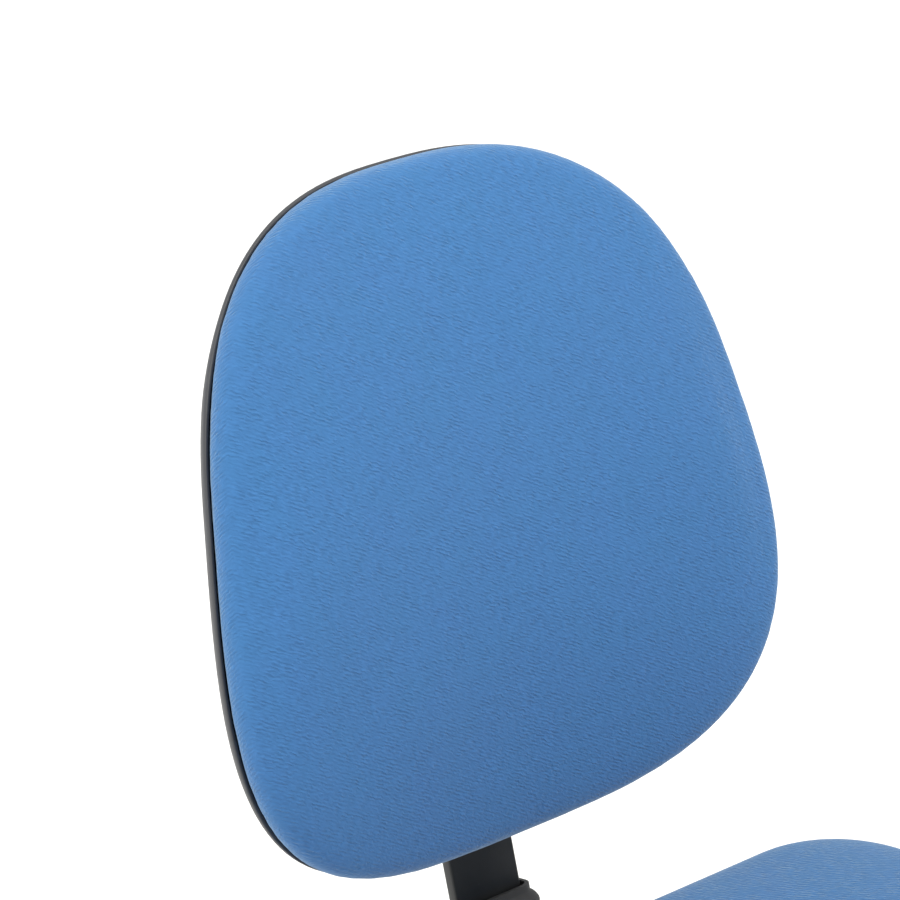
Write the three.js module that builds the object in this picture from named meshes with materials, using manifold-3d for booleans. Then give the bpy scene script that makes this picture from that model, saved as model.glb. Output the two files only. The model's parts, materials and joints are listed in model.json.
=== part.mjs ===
// Swivel office chair: five-star base on twin-wheel castors, gas lift, padded seat, reclining padded back.
// Millimetres, +Z up, floor at z = 0. The sitter faces -Y, and the sitter's right hand is at -X.
import * as THREE from "three";
import { mergeVertices } from "three/addons/utils/BufferGeometryUtils.js";
import Module from "manifold-3d";

const wasm = await Module();
wasm.setup();

// ---------- driving dimensions ----------
const DEG = Math.PI / 180;
const GAP = 0.3; // left between pieces that rest on or run in each other

const SWIVEL_Y = -34; // the swivel axis, ahead of the middle of the footprint

const WHEEL_R = 25; // castor wheel, to its flats
const WHEEL_SIDES = 16;
const WHEEL_WIDTH = 17;
const WHEEL_INNER = 5; // from the castor's middle plane to a wheel's inner face
const TRAIL = 20; // axle behind the swivel stem
const AXLE_R = 3.7;
const STEM_R = 5.5;
const HOOD_TOP = 58;
const FENDER_R = 30; // outside of the hood's mudguard, round the axle
const FENDER_INSIDE_R = 27.4;
const FENDER_FROM = 5; // the mudguard's reach round the axle, in degrees
const FENDER_TO = 190;
const WEB_HALF = 4.6; // half of the hood's middle web, between the wheels
const SOCKET_BOTTOM = 60.6;
const CASTOR_CIRCLE_R = 285;
const CASTOR_COUNT = 5;
// Which way each castor trails, counted from the front arm round towards +X.
const CASTOR_YAW = [-90, -35, 60, 120, 215];
const armAngle = (index) => (-90 + (index * 360) / CASTOR_COUNT) * DEG;

const HUB_TOP = 122;
const HUB_BOTTOM = 58;

const TUBE_R = 25; // gas lift outer tube
const TUBE_TOP = 262;
const TUBE_BOTTOM = 56;
const CYLINDER_R = 14; // gas lift inner cylinder, which rises with the seat
const CYLINDER_BOTTOM = 70;
const CYLINDER_TOP = 345;
const CYLINDER_TAPER = 303; // height at which its cone starts
const CONE_R = 13.4; // the cone's radius at the top
const ROD_R = 5;
const TUBE_FLOOR = 4;

const MECH_TOP = 362;
const MECH_HALF = 65; // outside of the housing's side walls
const MECH_FRONT = -75;
const MECH_REAR = 100;
const MECH_BOTTOM = 318;
const FLANGE_HALF = 92;
const PLATE = 3;
const PIVOT_Y = 62; // recline pivot
const PIVOT_Z = 336;
const PIN_R = 6;
const SPRING_FROM = 36; // the torsion springs' inner and outer ends, either side of the middle
const SPRING_TO = 56;
const SPRING_R = 10.5;
const WIRE_R = 1.8;
const LEVER_Z = 354.8; // height lever's rod, inside the housing
const LEVER_DIP = 11; // how far its grip lies lower
const LEVER_R = 3.5;
const LEVER_END = -205;
const LOCK_Y = 92;
const LOCK_Z = 340;
const LOCK_R = 4;
const LOCK_END = -212;
const GRIP_END = -250; // outer end of both grips
const BOLT_R = 4;
const SEAT_BOLTS = [
  [-78, -58],
  [78, -58],
  [-78, 78],
  [78, 78],
];

const SEAT_HALF = 235;
const SEAT_FRONT = -245;
const SEAT_REAR = 190;
const SEAT_CORNER = 88;
const SHELL_BOTTOM = 362.4;
const BOARD_BOTTOM = 369.6;
const BOARD_TOP = 380;
const SEAT_RIM = 398;

const BACK_Y = 328.6; // the backrest's centre, in the swivel frame
const BACK_Z = 727.4;
const BACK_TILT = 17.5 * DEG;
const BACK_HALF = 197; // half width at the centre's height
const BACK_ABOVE = 181.6; // centre to top edge, and its superellipse exponent
const POWER_ABOVE = 2.7;
const BACK_BELOW = 260.1; // centre to bottom edge, and its superellipse exponent
const POWER_BELOW = 2.92;
const BACK_APEX = 1130; // height at which the sides' taper would meet
const BEND_ACROSS = 0.000686; // sides come forward by this times x squared
const BEND_UP = 0.00022; // top and bottom go back by this times z squared

const BAR_HALF = 26; // spine bar, half width
const BAR_THICK = 10;
const BAR_BACK = 57; // bar's middle, behind the backrest's seam plane
const BAR_BEND_R = 50;
const BAR_FRONT = 76;
const BAR_TOP = 0; // its upper end, from the backrest's centre
const KNOB_UP = -132;
const YOKE_HALF = 29;
const YOKE_REAR = 132;

// ---------- materials ----------
const material = (color, roughness, metalness = 0) =>
  new THREE.MeshStandardMaterial({ color, roughness, metalness });
const NYLON = material(0x1b1c1e, 0.55);
const SHELL = material(0x222326, 0.5);
const FABRIC = material(0x3c6fb0, 0.9);
const BLACK_STEEL = material(0x161718, 0.4, 0.6);
const BRIGHT_STEEL = material(0xa8abad, 0.3, 1);
const CHROME = material(0xd0d3d6, 0.12, 1);
const RUBBER = material(0x18191a, 0.8);
const PLYWOOD = material(0xb9946a, 0.7);
const WHEEL = material(0x26272a, 0.6);

// ---------- geometry helpers ----------
// Turns a closed geometry's faces outwards if they point inwards.
function facingOut(geometry) {
  const g = geometry.index ? geometry.toNonIndexed() : geometry;
  const p = g.getAttribute("position");
  const corner = [new THREE.Vector3(), new THREE.Vector3(), new THREE.Vector3()];
  let volume = 0;
  for (let i = 0; i < p.count; i += 3) {
    corner.forEach((c, k) => c.fromBufferAttribute(p, i + k));
    volume += corner[0].dot(corner[1].clone().cross(corner[2]));
  }
  if (volume < 0) {
    for (let i = 0; i < p.count; i += 3) {
      corner[1].fromBufferAttribute(p, i + 1);
      corner[2].fromBufferAttribute(p, i + 2);
      p.setXYZ(i + 1, ...corner[2].toArray());
      p.setXYZ(i + 2, ...corner[1].toArray());
    }
  }
  return new THREE.BufferGeometry().setAttribute("position", p);
}

function solidOf(geometry) {
  const merged = mergeVertices(facingOut(geometry), 1e-4);
  return new wasm.Manifold(
    new wasm.Mesh({
      numProp: 3,
      vertProperties: merged.attributes.position.array,
      triVerts: new Uint32Array(merged.index.array),
    }),
  );
}

function geometryOf(solid) {
  const mesh = solid.getMesh();
  const points = new Float32Array(mesh.numVert * 3);
  for (let i = 0; i < mesh.numVert; i++) {
    points.set(mesh.vertProperties.subarray(i * mesh.numProp, i * mesh.numProp + 3), i * 3);
  }
  return new THREE.BufferGeometry()
    .setAttribute("position", new THREE.BufferAttribute(points, 3))
    .setIndex(new THREE.BufferAttribute(mesh.triVerts, 1));
}

const join = (...pieces) => geometryOf(pieces.map(solidOf).reduce((a, b) => a.add(b)));
const cut = (body, ...tools) => geometryOf(tools.map(solidOf).reduce((a, b) => a.subtract(b), solidOf(body)));

const box = (x0, x1, y0, y1, z0, z1) =>
  new THREE.BoxGeometry(x1 - x0, y1 - y0, z1 - z0).translate((x0 + x1) / 2, (y0 + y1) / 2, (z0 + z1) / 2);

// A solid of revolution about Z from [radius, z] points; an outline off the axis is closed on itself.
function revolve(profile, sides = 18) {
  const points = profile.map(([r, z]) => new THREE.Vector2(r, z));
  const onAxis = profile[0][0] === 0 && profile[profile.length - 1][0] === 0;
  if (!onAxis) points.push(points[0].clone());
  return facingOut(new THREE.LatheGeometry(points, sides).rotateX(Math.PI / 2));
}

const alongZ = (r, z0, z1, x = 0, y = 0, sides = 12) =>
  new THREE.CylinderGeometry(r, r, z1 - z0, sides).rotateX(Math.PI / 2).translate(x, y, (z0 + z1) / 2);
const alongX = (r, x0, x1, y, z, sides = 14) =>
  new THREE.CylinderGeometry(r, r, x1 - x0, sides).rotateZ(Math.PI / 2).translate((x0 + x1) / 2, y, z);
const alongY = (r, y0, y1, x, z, sides = 12) =>
  new THREE.CylinderGeometry(r, r, y1 - y0, sides).translate(x, (y0 + y1) / 2, z);

// A flat outline in X and Z, extruded from y0 to y1.
function plateXZ(points, y0, y1) {
  const shape = new THREE.Shape(points.map(([x, z]) => new THREE.Vector2(x, z)));
  return new THREE.ExtrudeGeometry(shape, { depth: y1 - y0, bevelEnabled: false })
    .rotateX(Math.PI / 2)
    .translate(0, y1, 0);
}

// A closed skin over rings of equal length. The end rings are capped, or joined if it is a hollow tube.
function loft(rings, hollow = false) {
  const n = rings[0].length;
  const faces = [];
  const quadRow = (a, b) => {
    for (let i = 0; i < n; i++) {
      const j = (i + 1) % n;
      faces.push(a[i], b[i], b[j], a[i], b[j], a[j]);
    }
  };
  for (let k = 0; k + 1 < rings.length; k++) quadRow(rings[k], rings[k + 1]);
  if (hollow) {
    quadRow(rings[rings.length - 1], rings[0]);
  } else {
    const cap = (ring, turned) => {
      const middle = ring.reduce((s, p) => s.add(p), new THREE.Vector3()).divideScalar(n);
      for (let i = 0; i < n; i++) {
        const edge = [ring[i], ring[(i + 1) % n]];
        if (turned) edge.reverse();
        faces.push(middle, edge[0], edge[1]);
      }
    };
    cap(rings[0], false);
    cap(rings[rings.length - 1], true);
  }
  return facingOut(new THREE.BufferGeometry().setFromPoints(faces));
}

function part(name, geometry, finish, parent) {
  const mesh = new THREE.Mesh(geometry, finish);
  mesh.name = name;
  parent.add(mesh);
  return mesh;
}

// ---------- groups ----------
const chair = new THREE.Group();
const column = new THREE.Group();
column.position.y = SWIVEL_Y;
chair.add(column);

// ---------- five-star base ----------
// One arm's cross-section at a distance out: width, top and bottom, with its upper edges rounded off.
function armRing(x, half, top, bottom, inset = 0) {
  const side = half - inset;
  const roof = top - inset;
  return [
    [-side, bottom],
    [-side, roof - 7],
    [-side * 0.55, roof],
    [side * 0.55, roof],
    [side, roof - 7],
    [side, bottom],
  ].map(([y, z]) => new THREE.Vector3(x, y, z));
}

function starBase() {
  const stations = [
    [24, 25, 113, 64],
    [95, 21.5, 107, 67],
    [200, 18, 98, 68],
    [CASTOR_CIRCLE_R - 8, 16.5, 90, 64],
    [CASTOR_CIRCLE_R + 10, 13, 88, 64],
    [CASTOR_CIRCLE_R + 17, 7, 85, 66],
  ];
  const wall = 3.4;
  const body = loft(stations.map((s) => armRing(...s)));
  const channel = loft([
    armRing(30, 25, 112, 60, wall),
    armRing(95, 21.5, 107, 60, wall),
    armRing(200, 18, 98, 60, wall),
    armRing(CASTOR_CIRCLE_R - 13, 16.7, 91, 60, wall),
  ]);
  const ribs = [115, 185].map((x) => box(x, x + 2.4, -16, 16, 70, 92));
  const spar = box(30, CASTOR_CIRCLE_R - 10, -1.3, 1.3, 72, 90);
  const socket = alongZ(12.5, SOCKET_BOTTOM, 86, CASTOR_CIRCLE_R);
  const arm = join(cut(body, channel), join(...ribs, spar), socket);
  const arms = [];
  for (let i = 0; i < CASTOR_COUNT; i++) {
    arms.push(arm.clone().rotateZ(armAngle(i)));
  }
  const hub = revolve(
    [
      [0, HUB_BOTTOM],
      [38, HUB_BOTTOM],
      [36, 112],
      [33, HUB_TOP - 2],
      [30.5, HUB_TOP],
      [0, HUB_TOP],
    ],
    30,
  );
  const bore = revolve([
    [0, HUB_BOTTOM - 1],
    [24.7, HUB_BOTTOM - 1],
    [25.5, HUB_TOP + 1],
    [0, HUB_TOP + 1],
  ]);
  const stemHoles = [];
  for (let i = 0; i < CASTOR_COUNT; i++) {
    const [x, y] = [CASTOR_CIRCLE_R * Math.cos(armAngle(i)), CASTOR_CIRCLE_R * Math.sin(armAngle(i))];
    stemHoles.push(alongZ(STEM_R + GAP, SOCKET_BOTTOM - 1, 83, x, y));
  }
  return cut(join(hub, ...arms), bore, ...stemHoles);
}
part("star_base", starBase(), NYLON, column);

// ---------- castors ----------
// In a castor's own frame the stem is the Z axis and the axle lies TRAIL along +X.
function castorHood() {
  const sector = (r, from, to, steps) => {
    const points = [];
    for (let i = 0; i <= steps; i++) {
      const at = (from + ((to - from) * i) / steps) * DEG;
      points.push([TRAIL + r * Math.cos(at), WHEEL_R + r * Math.sin(at)]);
    }
    return points;
  };
  const outer = sector(FENDER_R, FENDER_FROM, FENDER_TO, 8);
  const inner = sector(FENDER_INSIDE_R, FENDER_TO, FENDER_FROM, 8);
  const fender = plateXZ([...outer, ...inner], -22, 22);
  const webTop = sector((FENDER_R + FENDER_INSIDE_R) / 2, FENDER_FROM, FENDER_TO, 8);
  const web = plateXZ([...webTop, ...sector(11, 215, 325, 2)], -WEB_HALF, WEB_HALF);
  const boss = alongZ(10, 34, HOOD_TOP);
  const wheelRoom = [
    alongY(WHEEL_R + 1.2, -FENDER_R, -WEB_HALF, TRAIL, WHEEL_R, 16),
    alongY(WHEEL_R + 1.2, WEB_HALF, FENDER_R, TRAIL, WHEEL_R, 16),
  ];
  const trimmed = join(cut(join(web, boss), ...wheelRoom), fender);
  const stemHole = alongZ(STEM_R + GAP, 40, HOOD_TOP + 1);
  const axleHole = alongY(AXLE_R + GAP, -6, 6, TRAIL, WHEEL_R, 10);
  return cut(trimmed, stemHole, axleHole);
}

function castorStem() {
  return revolve(
    [
      [0, 40.4],
      [STEM_R, 40.4],
      [STEM_R, HOOD_TOP + GAP],
      [8.5, HOOD_TOP + GAP],
      [8.5, SOCKET_BOTTOM - GAP],
      [STEM_R, SOCKET_BOTTOM - GAP],
      [STEM_R, 82],
      [0, 82],
    ],
    10,
  );
}

function castorWheel() {
  const rim = WHEEL_R / Math.cos(Math.PI / WHEEL_SIDES);
  const bore = AXLE_R + GAP;
  const wheel = revolve(
    [
      [bore, 0],
      [22.5, 0],
      [rim, 2.5],
      [rim, 13.5],
      [22, WHEEL_WIDTH],
      [bore, WHEEL_WIDTH - 2],
    ],
    WHEEL_SIDES,
  );
  return wheel.rotateZ(Math.PI / WHEEL_SIDES).rotateX(-Math.PI / 2);
}

function addCastor(index) {
  const name = `castor_${index + 1}`;
  const at = armAngle(index);
  const castor = new THREE.Group();
  castor.position.set(CASTOR_CIRCLE_R * Math.cos(at), CASTOR_CIRCLE_R * Math.sin(at), 0);
  castor.rotation.z = CASTOR_YAW[index] * DEG;
  column.add(castor);
  part(`${name}_hood`, castorHood(), NYLON, castor);
  part(`${name}_stem`, castorStem(), BRIGHT_STEEL, castor);
  part(`${name}_axle`, alongY(AXLE_R, -19.7, 19.7, TRAIL, WHEEL_R, 8), BRIGHT_STEEL, castor);
  const left = part(`${name}_wheel_left`, castorWheel(), WHEEL, castor);
  left.position.set(TRAIL, WHEEL_INNER, WHEEL_R);
  const right = part(`${name}_wheel_right`, castorWheel().rotateZ(Math.PI), WHEEL, castor);
  right.position.set(TRAIL, -WHEEL_INNER, WHEEL_R);
}
for (let i = 0; i < CASTOR_COUNT; i++) addCastor(i);

// ---------- gas lift ----------
function addGasLift() {
  const tube = revolve([
    [ROD_R + GAP, TUBE_BOTTOM],
    [24.2, TUBE_BOTTOM],
    [TUBE_R, 118],
    [TUBE_R, TUBE_TOP],
    [22, TUBE_TOP],
    [22, TUBE_BOTTOM + TUBE_FLOOR],
    [ROD_R + GAP, TUBE_BOTTOM + TUBE_FLOOR],
  ]);
  part("lift_outer_tube", tube, BLACK_STEEL, column);
  const bush = revolve([
    [CYLINDER_R + GAP, 205],
    [21.7, 205],
    [21.7, TUBE_TOP + GAP],
    [24.5, TUBE_TOP + GAP],
    [24.5, TUBE_TOP + 3],
    [CYLINDER_R + GAP, TUBE_TOP + 3],
  ]);
  part("lift_guide_bush", bush, NYLON, column);
  const bearing = revolve([
    [ROD_R + 2 * GAP, TUBE_BOTTOM + TUBE_FLOOR + GAP],
    [13, TUBE_BOTTOM + TUBE_FLOOR + GAP],
    [14, 64.5],
    [13, CYLINDER_BOTTOM - 1],
    [ROD_R + 2 * GAP, CYLINDER_BOTTOM - 1],
  ]);
  part("lift_thrust_bearing", bearing, BRIGHT_STEEL, column);
  const rod = revolve(
    [
      [0, 48],
      [ROD_R, 48],
      [ROD_R, 238],
      [11.4, 238],
      [11.4, 252],
      [ROD_R, 252],
      [3, 256],
      [0, 256],
    ],
    20,
  );
  part("piston_rod", rod, CHROME, column);
  const clip = revolve(
    [
      [ROD_R + GAP, 52.5],
      [9, 52.5],
      [9, 54.5],
      [ROD_R + GAP, 54.5],
    ],
    20,
  );
  part("lift_retaining_clip", clip, BRIGHT_STEEL, column);
  const cylinder = revolve(
    [
      [ROD_R + GAP, CYLINDER_BOTTOM],
      [CYLINDER_R, CYLINDER_BOTTOM],
      [CYLINDER_R, CYLINDER_TAPER],
      [CONE_R, CYLINDER_TOP],
      [3.4, CYLINDER_TOP],
      [3.4, 318],
      [12, 318],
      [12, CYLINDER_BOTTOM + 6],
      [ROD_R + GAP, CYLINDER_BOTTOM + 6],
    ],
    20,
  );
  part("lift_cylinder", cylinder, CHROME, column);
  part("lift_valve_button", alongZ(3, 322, 350.6, 0, 0, 12), BRIGHT_STEEL, column);
}
addGasLift();

// Three nesting sleeves hide the lift; the middle one follows at half the seat's travel.
function sleeve(inside, bottom, top, flare = 0) {
  const wall = 2;
  return revolve([
    [inside, bottom],
    [inside + wall, bottom],
    [inside + wall, top - 14],
    [inside + wall + flare, top],
    [inside + flare, top],
    [inside, top - 14],
  ]);
}
part("column_cover_lower", sleeve(26.5, HUB_TOP + GAP, 237), NYLON, column);
part("column_cover_middle", sleeve(29.4, 150, 268), NYLON, column);
part("column_cover_upper", sleeve(32.3, 180, 325.6, 3), NYLON, column);

// ---------- seat mechanism ----------
function mechanismHousing() {
  const inside = MECH_HALF - PLATE;
  const roof = MECH_TOP - PLATE;
  const channel = cut(
    box(-MECH_HALF, MECH_HALF, MECH_FRONT, MECH_REAR, MECH_BOTTOM, MECH_TOP),
    box(-inside, inside, MECH_FRONT + PLATE, MECH_REAR + 10, MECH_BOTTOM - 8, roof),
  );
  const flange = box(-FLANGE_HALF, FLANGE_HALF, MECH_FRONT, MECH_REAR - 5, roof, MECH_TOP);
  const web = box(-inside - 1, inside + 1, -31, 31, 326, 330);
  const socket = alongZ(19, 304, CYLINDER_TOP - 1, 0, 0, 20);
  const taper = revolve([
    [0, CYLINDER_TAPER - 3],
    [CYLINDER_R + GAP, CYLINDER_TAPER - 3],
    [CYLINDER_R + GAP, CYLINDER_TAPER],
    [CONE_R + GAP, CYLINDER_TOP + 0.5],
    [0, CYLINDER_TOP + 0.5],
  ]);
  const pinHole = alongX(PIN_R + GAP, -80, 80, PIVOT_Y, PIVOT_Z);
  const leverSlot = box(-MECH_HALF - 5, -MECH_HALF + 12, -5, 5, LEVER_Z - 5, LEVER_Z + 4);
  const lockHole = alongX(LOCK_R + 0.4, -MECH_HALF - 5, -MECH_HALF + 12, LOCK_Y, LOCK_Z, 12);
  const boltHoles = SEAT_BOLTS.map(([x, y]) => alongZ(BOLT_R + GAP, roof - 1, MECH_TOP + 1, x, y));
  return cut(join(channel, flange, web, socket), taper, pinHole, leverSlot, lockHole, ...boltHoles);
}
part("mechanism_housing", mechanismHousing(), BLACK_STEEL, column);
part("recline_pivot_pin", alongX(PIN_R, -70, 70, PIVOT_Y, PIVOT_Z), BRIGHT_STEEL, column);

// Torsion spring round the pivot pin: a helix of round wire with its ends squared off.
class CoilCurve extends THREE.Curve {
  constructor(radius, from, to, turns) {
    super();
    Object.assign(this, { radius, from, to, turns });
  }
  getPoint(t, target = new THREE.Vector3()) {
    const turn = t * this.turns * 2 * Math.PI;
    const x = this.from + (this.to - this.from) * t;
    return target.set(x, PIVOT_Y + this.radius * Math.cos(turn), PIVOT_Z + this.radius * Math.sin(turn));
  }
}
function torsionSpring(from, to) {
  const wire = new THREE.Shape().absarc(0, 0, WIRE_R, 0, 2 * Math.PI);
  return new THREE.ExtrudeGeometry(wire, {
    extrudePath: new CoilCurve(SPRING_R, from, to, 3),
    steps: 24,
    curveSegments: 3,
    bevelEnabled: false,
  });
}
part("recline_spring_left", torsionSpring(-SPRING_TO, -SPRING_FROM), BRIGHT_STEEL, column);
part("recline_spring_right", torsionSpring(SPRING_FROM, SPRING_TO), BRIGHT_STEEL, column);

SEAT_BOLTS.forEach(([x, y], i) => {
  const seat = MECH_TOP - PLATE - GAP;
  const head = alongZ(6.5, seat - 5.5, seat, 0, 0, 6);
  const shank = alongZ(BOLT_R, seat - 1, BOARD_TOP - 2, 0, 0, 12);
  part(`seat_bolt_${i + 1}`, join(head, shank).translate(x, y, 0), BRIGHT_STEEL, column);
});

// ---------- levers ----------
// A lever's rod: straight inside the housing, then dipping to its grip.
function heightLeverRod() {
  const path = new THREE.CatmullRomCurve3(
    [
      [9, LEVER_Z],
      [-70, LEVER_Z],
      [-92, LEVER_Z - 3],
      [-118, LEVER_Z - 9],
      [-150, LEVER_Z - LEVER_DIP],
      [LEVER_END, LEVER_Z - LEVER_DIP],
    ].map(([x, z]) => new THREE.Vector3(x, 0, z)),
    false,
    "catmullrom",
    0.1,
  );
  const section = new THREE.Shape().absarc(0, 0, LEVER_R, 0, 2 * Math.PI);
  return new THREE.ExtrudeGeometry(section, {
    extrudePath: path,
    steps: 14,
    curveSegments: 4,
    bevelEnabled: false,
  });
}
part("height_lever_rod", heightLeverRod(), BLACK_STEEL, column);

// A flat paddle in X and Y with rounded edges, bored for its rod.
function paddle(xIn, xOut, y0, y1, z, rodRadius, rodY, rodEnd) {
  const r = 9;
  const shape = new THREE.Shape();
  shape.moveTo(xIn - r, y0);
  shape.absarc(xOut + r, y0 + r, r, -Math.PI / 2, -Math.PI, true);
  shape.absarc(xOut + r, y1 - r, r, Math.PI, Math.PI / 2, true);
  shape.lineTo(xIn - r, y1);
  shape.lineTo(xIn, (y0 + y1) / 2 + 8);
  shape.lineTo(xIn, (y0 + y1) / 2 - 8);
  const plate = new THREE.ExtrudeGeometry(shape, {
    depth: 6,
    bevelEnabled: true,
    bevelThickness: 2.5,
    bevelSize: 2.5,
    bevelOffset: -2.5,
    bevelSegments: 1,
    curveSegments: 3,
  }).translate(0, 0, z - 3);
  return cut(plate, alongX(rodRadius + GAP, rodEnd - 1, xIn + 5, rodY, z, 14));
}
const heightGrip = paddle(-172, GRIP_END, -15, 15, LEVER_Z - LEVER_DIP, LEVER_R, 0, LEVER_END);
part("height_lever_grip", heightGrip, NYLON, column);

const lockRod = join(
  alongX(LOCK_R, LOCK_END, -34, LOCK_Y, LOCK_Z, 14),
  box(-42, -35, LOCK_Y - 3, LOCK_Y + 9, LOCK_Z - 3.5, LOCK_Z + 3.5),
);
part("lock_lever_rod", lockRod, BLACK_STEEL, column);
const lockGrip = paddle(-180, GRIP_END, LOCK_Y - 11, LOCK_Y + 24, LOCK_Z, LOCK_R, LOCK_Y, LOCK_END);
part("lock_lever_grip", lockGrip, NYLON, column);

// ---------- seat ----------
// A rounded rectangle in the seat's plan, drawn in by inset, as a ring of points at one height.
function seatRing(inset, z, shape = () => 0) {
  const r = Math.max(SEAT_CORNER - inset, 6);
  const [half, front, rear] = [SEAT_HALF - inset, SEAT_FRONT + inset, SEAT_REAR - inset];
  const corners = [
    [half - r, rear - r, 0],
    [-half + r, rear - r, 90],
    [-half + r, front + r, 180],
    [half - r, front + r, 270],
  ];
  const arcSteps = 5;
  const sideSteps = 3;
  const ring = [];
  corners.forEach(([cx, cy, start], k) => {
    for (let i = 0; i <= arcSteps; i++) {
      const at = (start + (90 * i) / arcSteps) * DEG;
      ring.push(new THREE.Vector3(cx + r * Math.cos(at), cy + r * Math.sin(at), z));
    }
    const [nx, ny, next] = corners[(k + 1) % 4];
    const end = new THREE.Vector3(nx + r * Math.cos(next * DEG), ny + r * Math.sin(next * DEG), z);
    const from = ring[ring.length - 1];
    for (let i = 1; i < sideSteps; i++) ring.push(from.clone().lerp(end, i / sideSteps));
  });
  ring.forEach((p) => {
    p.z += shape(p);
  });
  return ring;
}

// How far the upholstery rolls down towards the front edge.
const waterfall = (depth) => (p) => {
  const past = Math.max(0, -150 - p.y) / 95;
  return -depth * past * past;
};

function addSeat() {
  const shellRings = [
    [34, SHELL_BOTTOM],
    [11, 365.6],
    [3.5, 376],
    [2, SEAT_RIM],
    [5, SEAT_RIM],
    [6.6, 377.4],
    [13, 368.6],
    [35, 365.6],
  ];
  const shell = loft(shellRings.map(([inset, z]) => seatRing(inset, z)));
  const boltRoom = SEAT_BOLTS.map(([x, y]) => alongZ(BOLT_R + GAP, MECH_TOP - 7, BOARD_TOP + 10, x, y));
  part("seat_shell", cut(shell, ...boltRoom), SHELL, column);
  const board = loft([seatRing(17, BOARD_BOTTOM), seatRing(17, BOARD_TOP)]);
  part("seat_board", cut(board, ...boltRoom), PLYWOOD, column);
  const padRings = [
    [17, BOARD_TOP + GAP, 0],
    [8, 388, 0],
    [7, 397.6, 0],
    [2.5, SEAT_RIM + 1, 0],
    [0, 410, 0],
    [0, 426, 5],
    [4, 438, 12],
    [15, 446, 17],
    [45, 450, 18],
    [110, 454, 6],
  ];
  const pad = loft(padRings.map(([inset, z, drop]) => seatRing(inset, z, waterfall(drop))));
  part("seat_pad", pad, FABRIC, column);
}
addSeat();

// ---------- backrest ----------
// Its own frame: X across, Y back, Z up its tilted face, origin at its centre on the fabric's seam plane.
const back = new THREE.Group();
back.position.set(0, BACK_Y, BACK_Z);
back.rotation.x = -BACK_TILT;
column.add(back);

const bend = (x, z) => -BEND_ACROSS * x * x + BEND_UP * z * z;

// The egg-shaped outline: a superellipse, narrowing upwards, drawn to a scale and set back by depth.
function backRing(scale, depth, count = 32) {
  const ring = [];
  for (let i = 0; i < count; i++) {
    const at = (i * 2 * Math.PI) / count;
    const up = Math.sin(at);
    const across = Math.cos(at);
    const power = 2 / (up > 0 ? POWER_ABOVE : POWER_BELOW);
    const z = (up > 0 ? BACK_ABOVE : BACK_BELOW) * Math.sign(up) * Math.abs(up) ** power;
    const x = BACK_HALF * Math.sign(across) * Math.abs(across) ** power * (1 - z / BACK_APEX);
    ring.push(new THREE.Vector3(x * scale, depth + bend(x * scale, z * scale), z * scale));
  }
  return ring;
}

function addBackrest() {
  const shellRings = [
    [0.3, 34],
    [0.72, 30],
    [0.93, 18.5],
    [0.985, 9.5],
    [1, 4],
    [1, -0.5],
    [0.986, -0.5],
    [0.972, 8],
    [0.92, 15.5],
    [0.71, 27],
    [0.3, 31],
  ];
  part("back_shell", loft(shellRings.map(([s, w]) => backRing(s, w))), SHELL, back);
  const boardRings = [
    [0.3, 4],
    [0.935, 4],
    [0.935, 11],
    [0.3, 11],
  ];
  part("back_board", loft(boardRings.map(([s, w]) => backRing(s, w))), PLYWOOD, back);
  const padRings = [
    [0.3, 3.6],
    [0.935, 3.6],
    [0.977, 2],
    [0.977, -1],
    [0.996, -2.5],
    [1, -12],
    [0.987, -22],
    [0.94, -30],
    [0.8, -37],
    [0.5, -41],
    [0.2, -42.5],
  ];
  part("back_pad", loft(padRings.map(([s, w]) => backRing(s, w))), FABRIC, back);

  // The slide that carries the back up and down the spine bar, and its clamping handwheel.
  const barFront = BAR_BACK - BAR_THICK / 2;
  const barRear = BAR_BACK + BAR_THICK / 2;
  const plate = box(-44, 44, 40, 45, KNOB_UP - 60, KNOB_UP + 65);
  const slide = box(-31, 31, 44, barRear + 6, KNOB_UP - 45, KNOB_UP + 45);
  const roomHalf = BAR_HALF + GAP;
  const barRoom = box(-roomHalf, roomHalf, barFront - GAP, barRear + GAP, KNOB_UP - 70, KNOB_UP + 75);
  const studHole = alongY(4.4, barRear - 2, barRear + 10, 0, KNOB_UP, 16);
  part("back_slide_bracket", cut(join(plate, slide), barRoom, studHole), BLACK_STEEL, back);
  part("back_height_knob", knob(barRear), NYLON, back);
}

// A lobed handwheel on a threaded stud.
function knob(barRear) {
  const lobes = 7;
  const shape = new THREE.Shape();
  const steps = lobes * 4;
  for (let i = 0; i <= steps; i++) {
    const at = (i * 2 * Math.PI) / steps;
    const r = 20.5 + 1.8 * Math.cos(lobes * at);
    if (i === 0) shape.moveTo(r, 0);
    else shape.lineTo(r * Math.cos(at), r * Math.sin(at));
  }
  const wheel = new THREE.ExtrudeGeometry(shape, {
    depth: 14,
    bevelEnabled: true,
    bevelThickness: 3,
    bevelSize: 3,
    bevelOffset: -3,
    bevelSegments: 1,
  });
  wheel.rotateX(-Math.PI / 2).translate(0, barRear + 12, KNOB_UP);
  const neck = alongY(9, barRear + 6.6, barRear + 10, 0, KNOB_UP, 16);
  const stud = alongY(4, barRear + GAP, barRear + 8, 0, KNOB_UP, 12);
  return join(wheel, neck, stud);
}
addBackrest();

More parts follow.
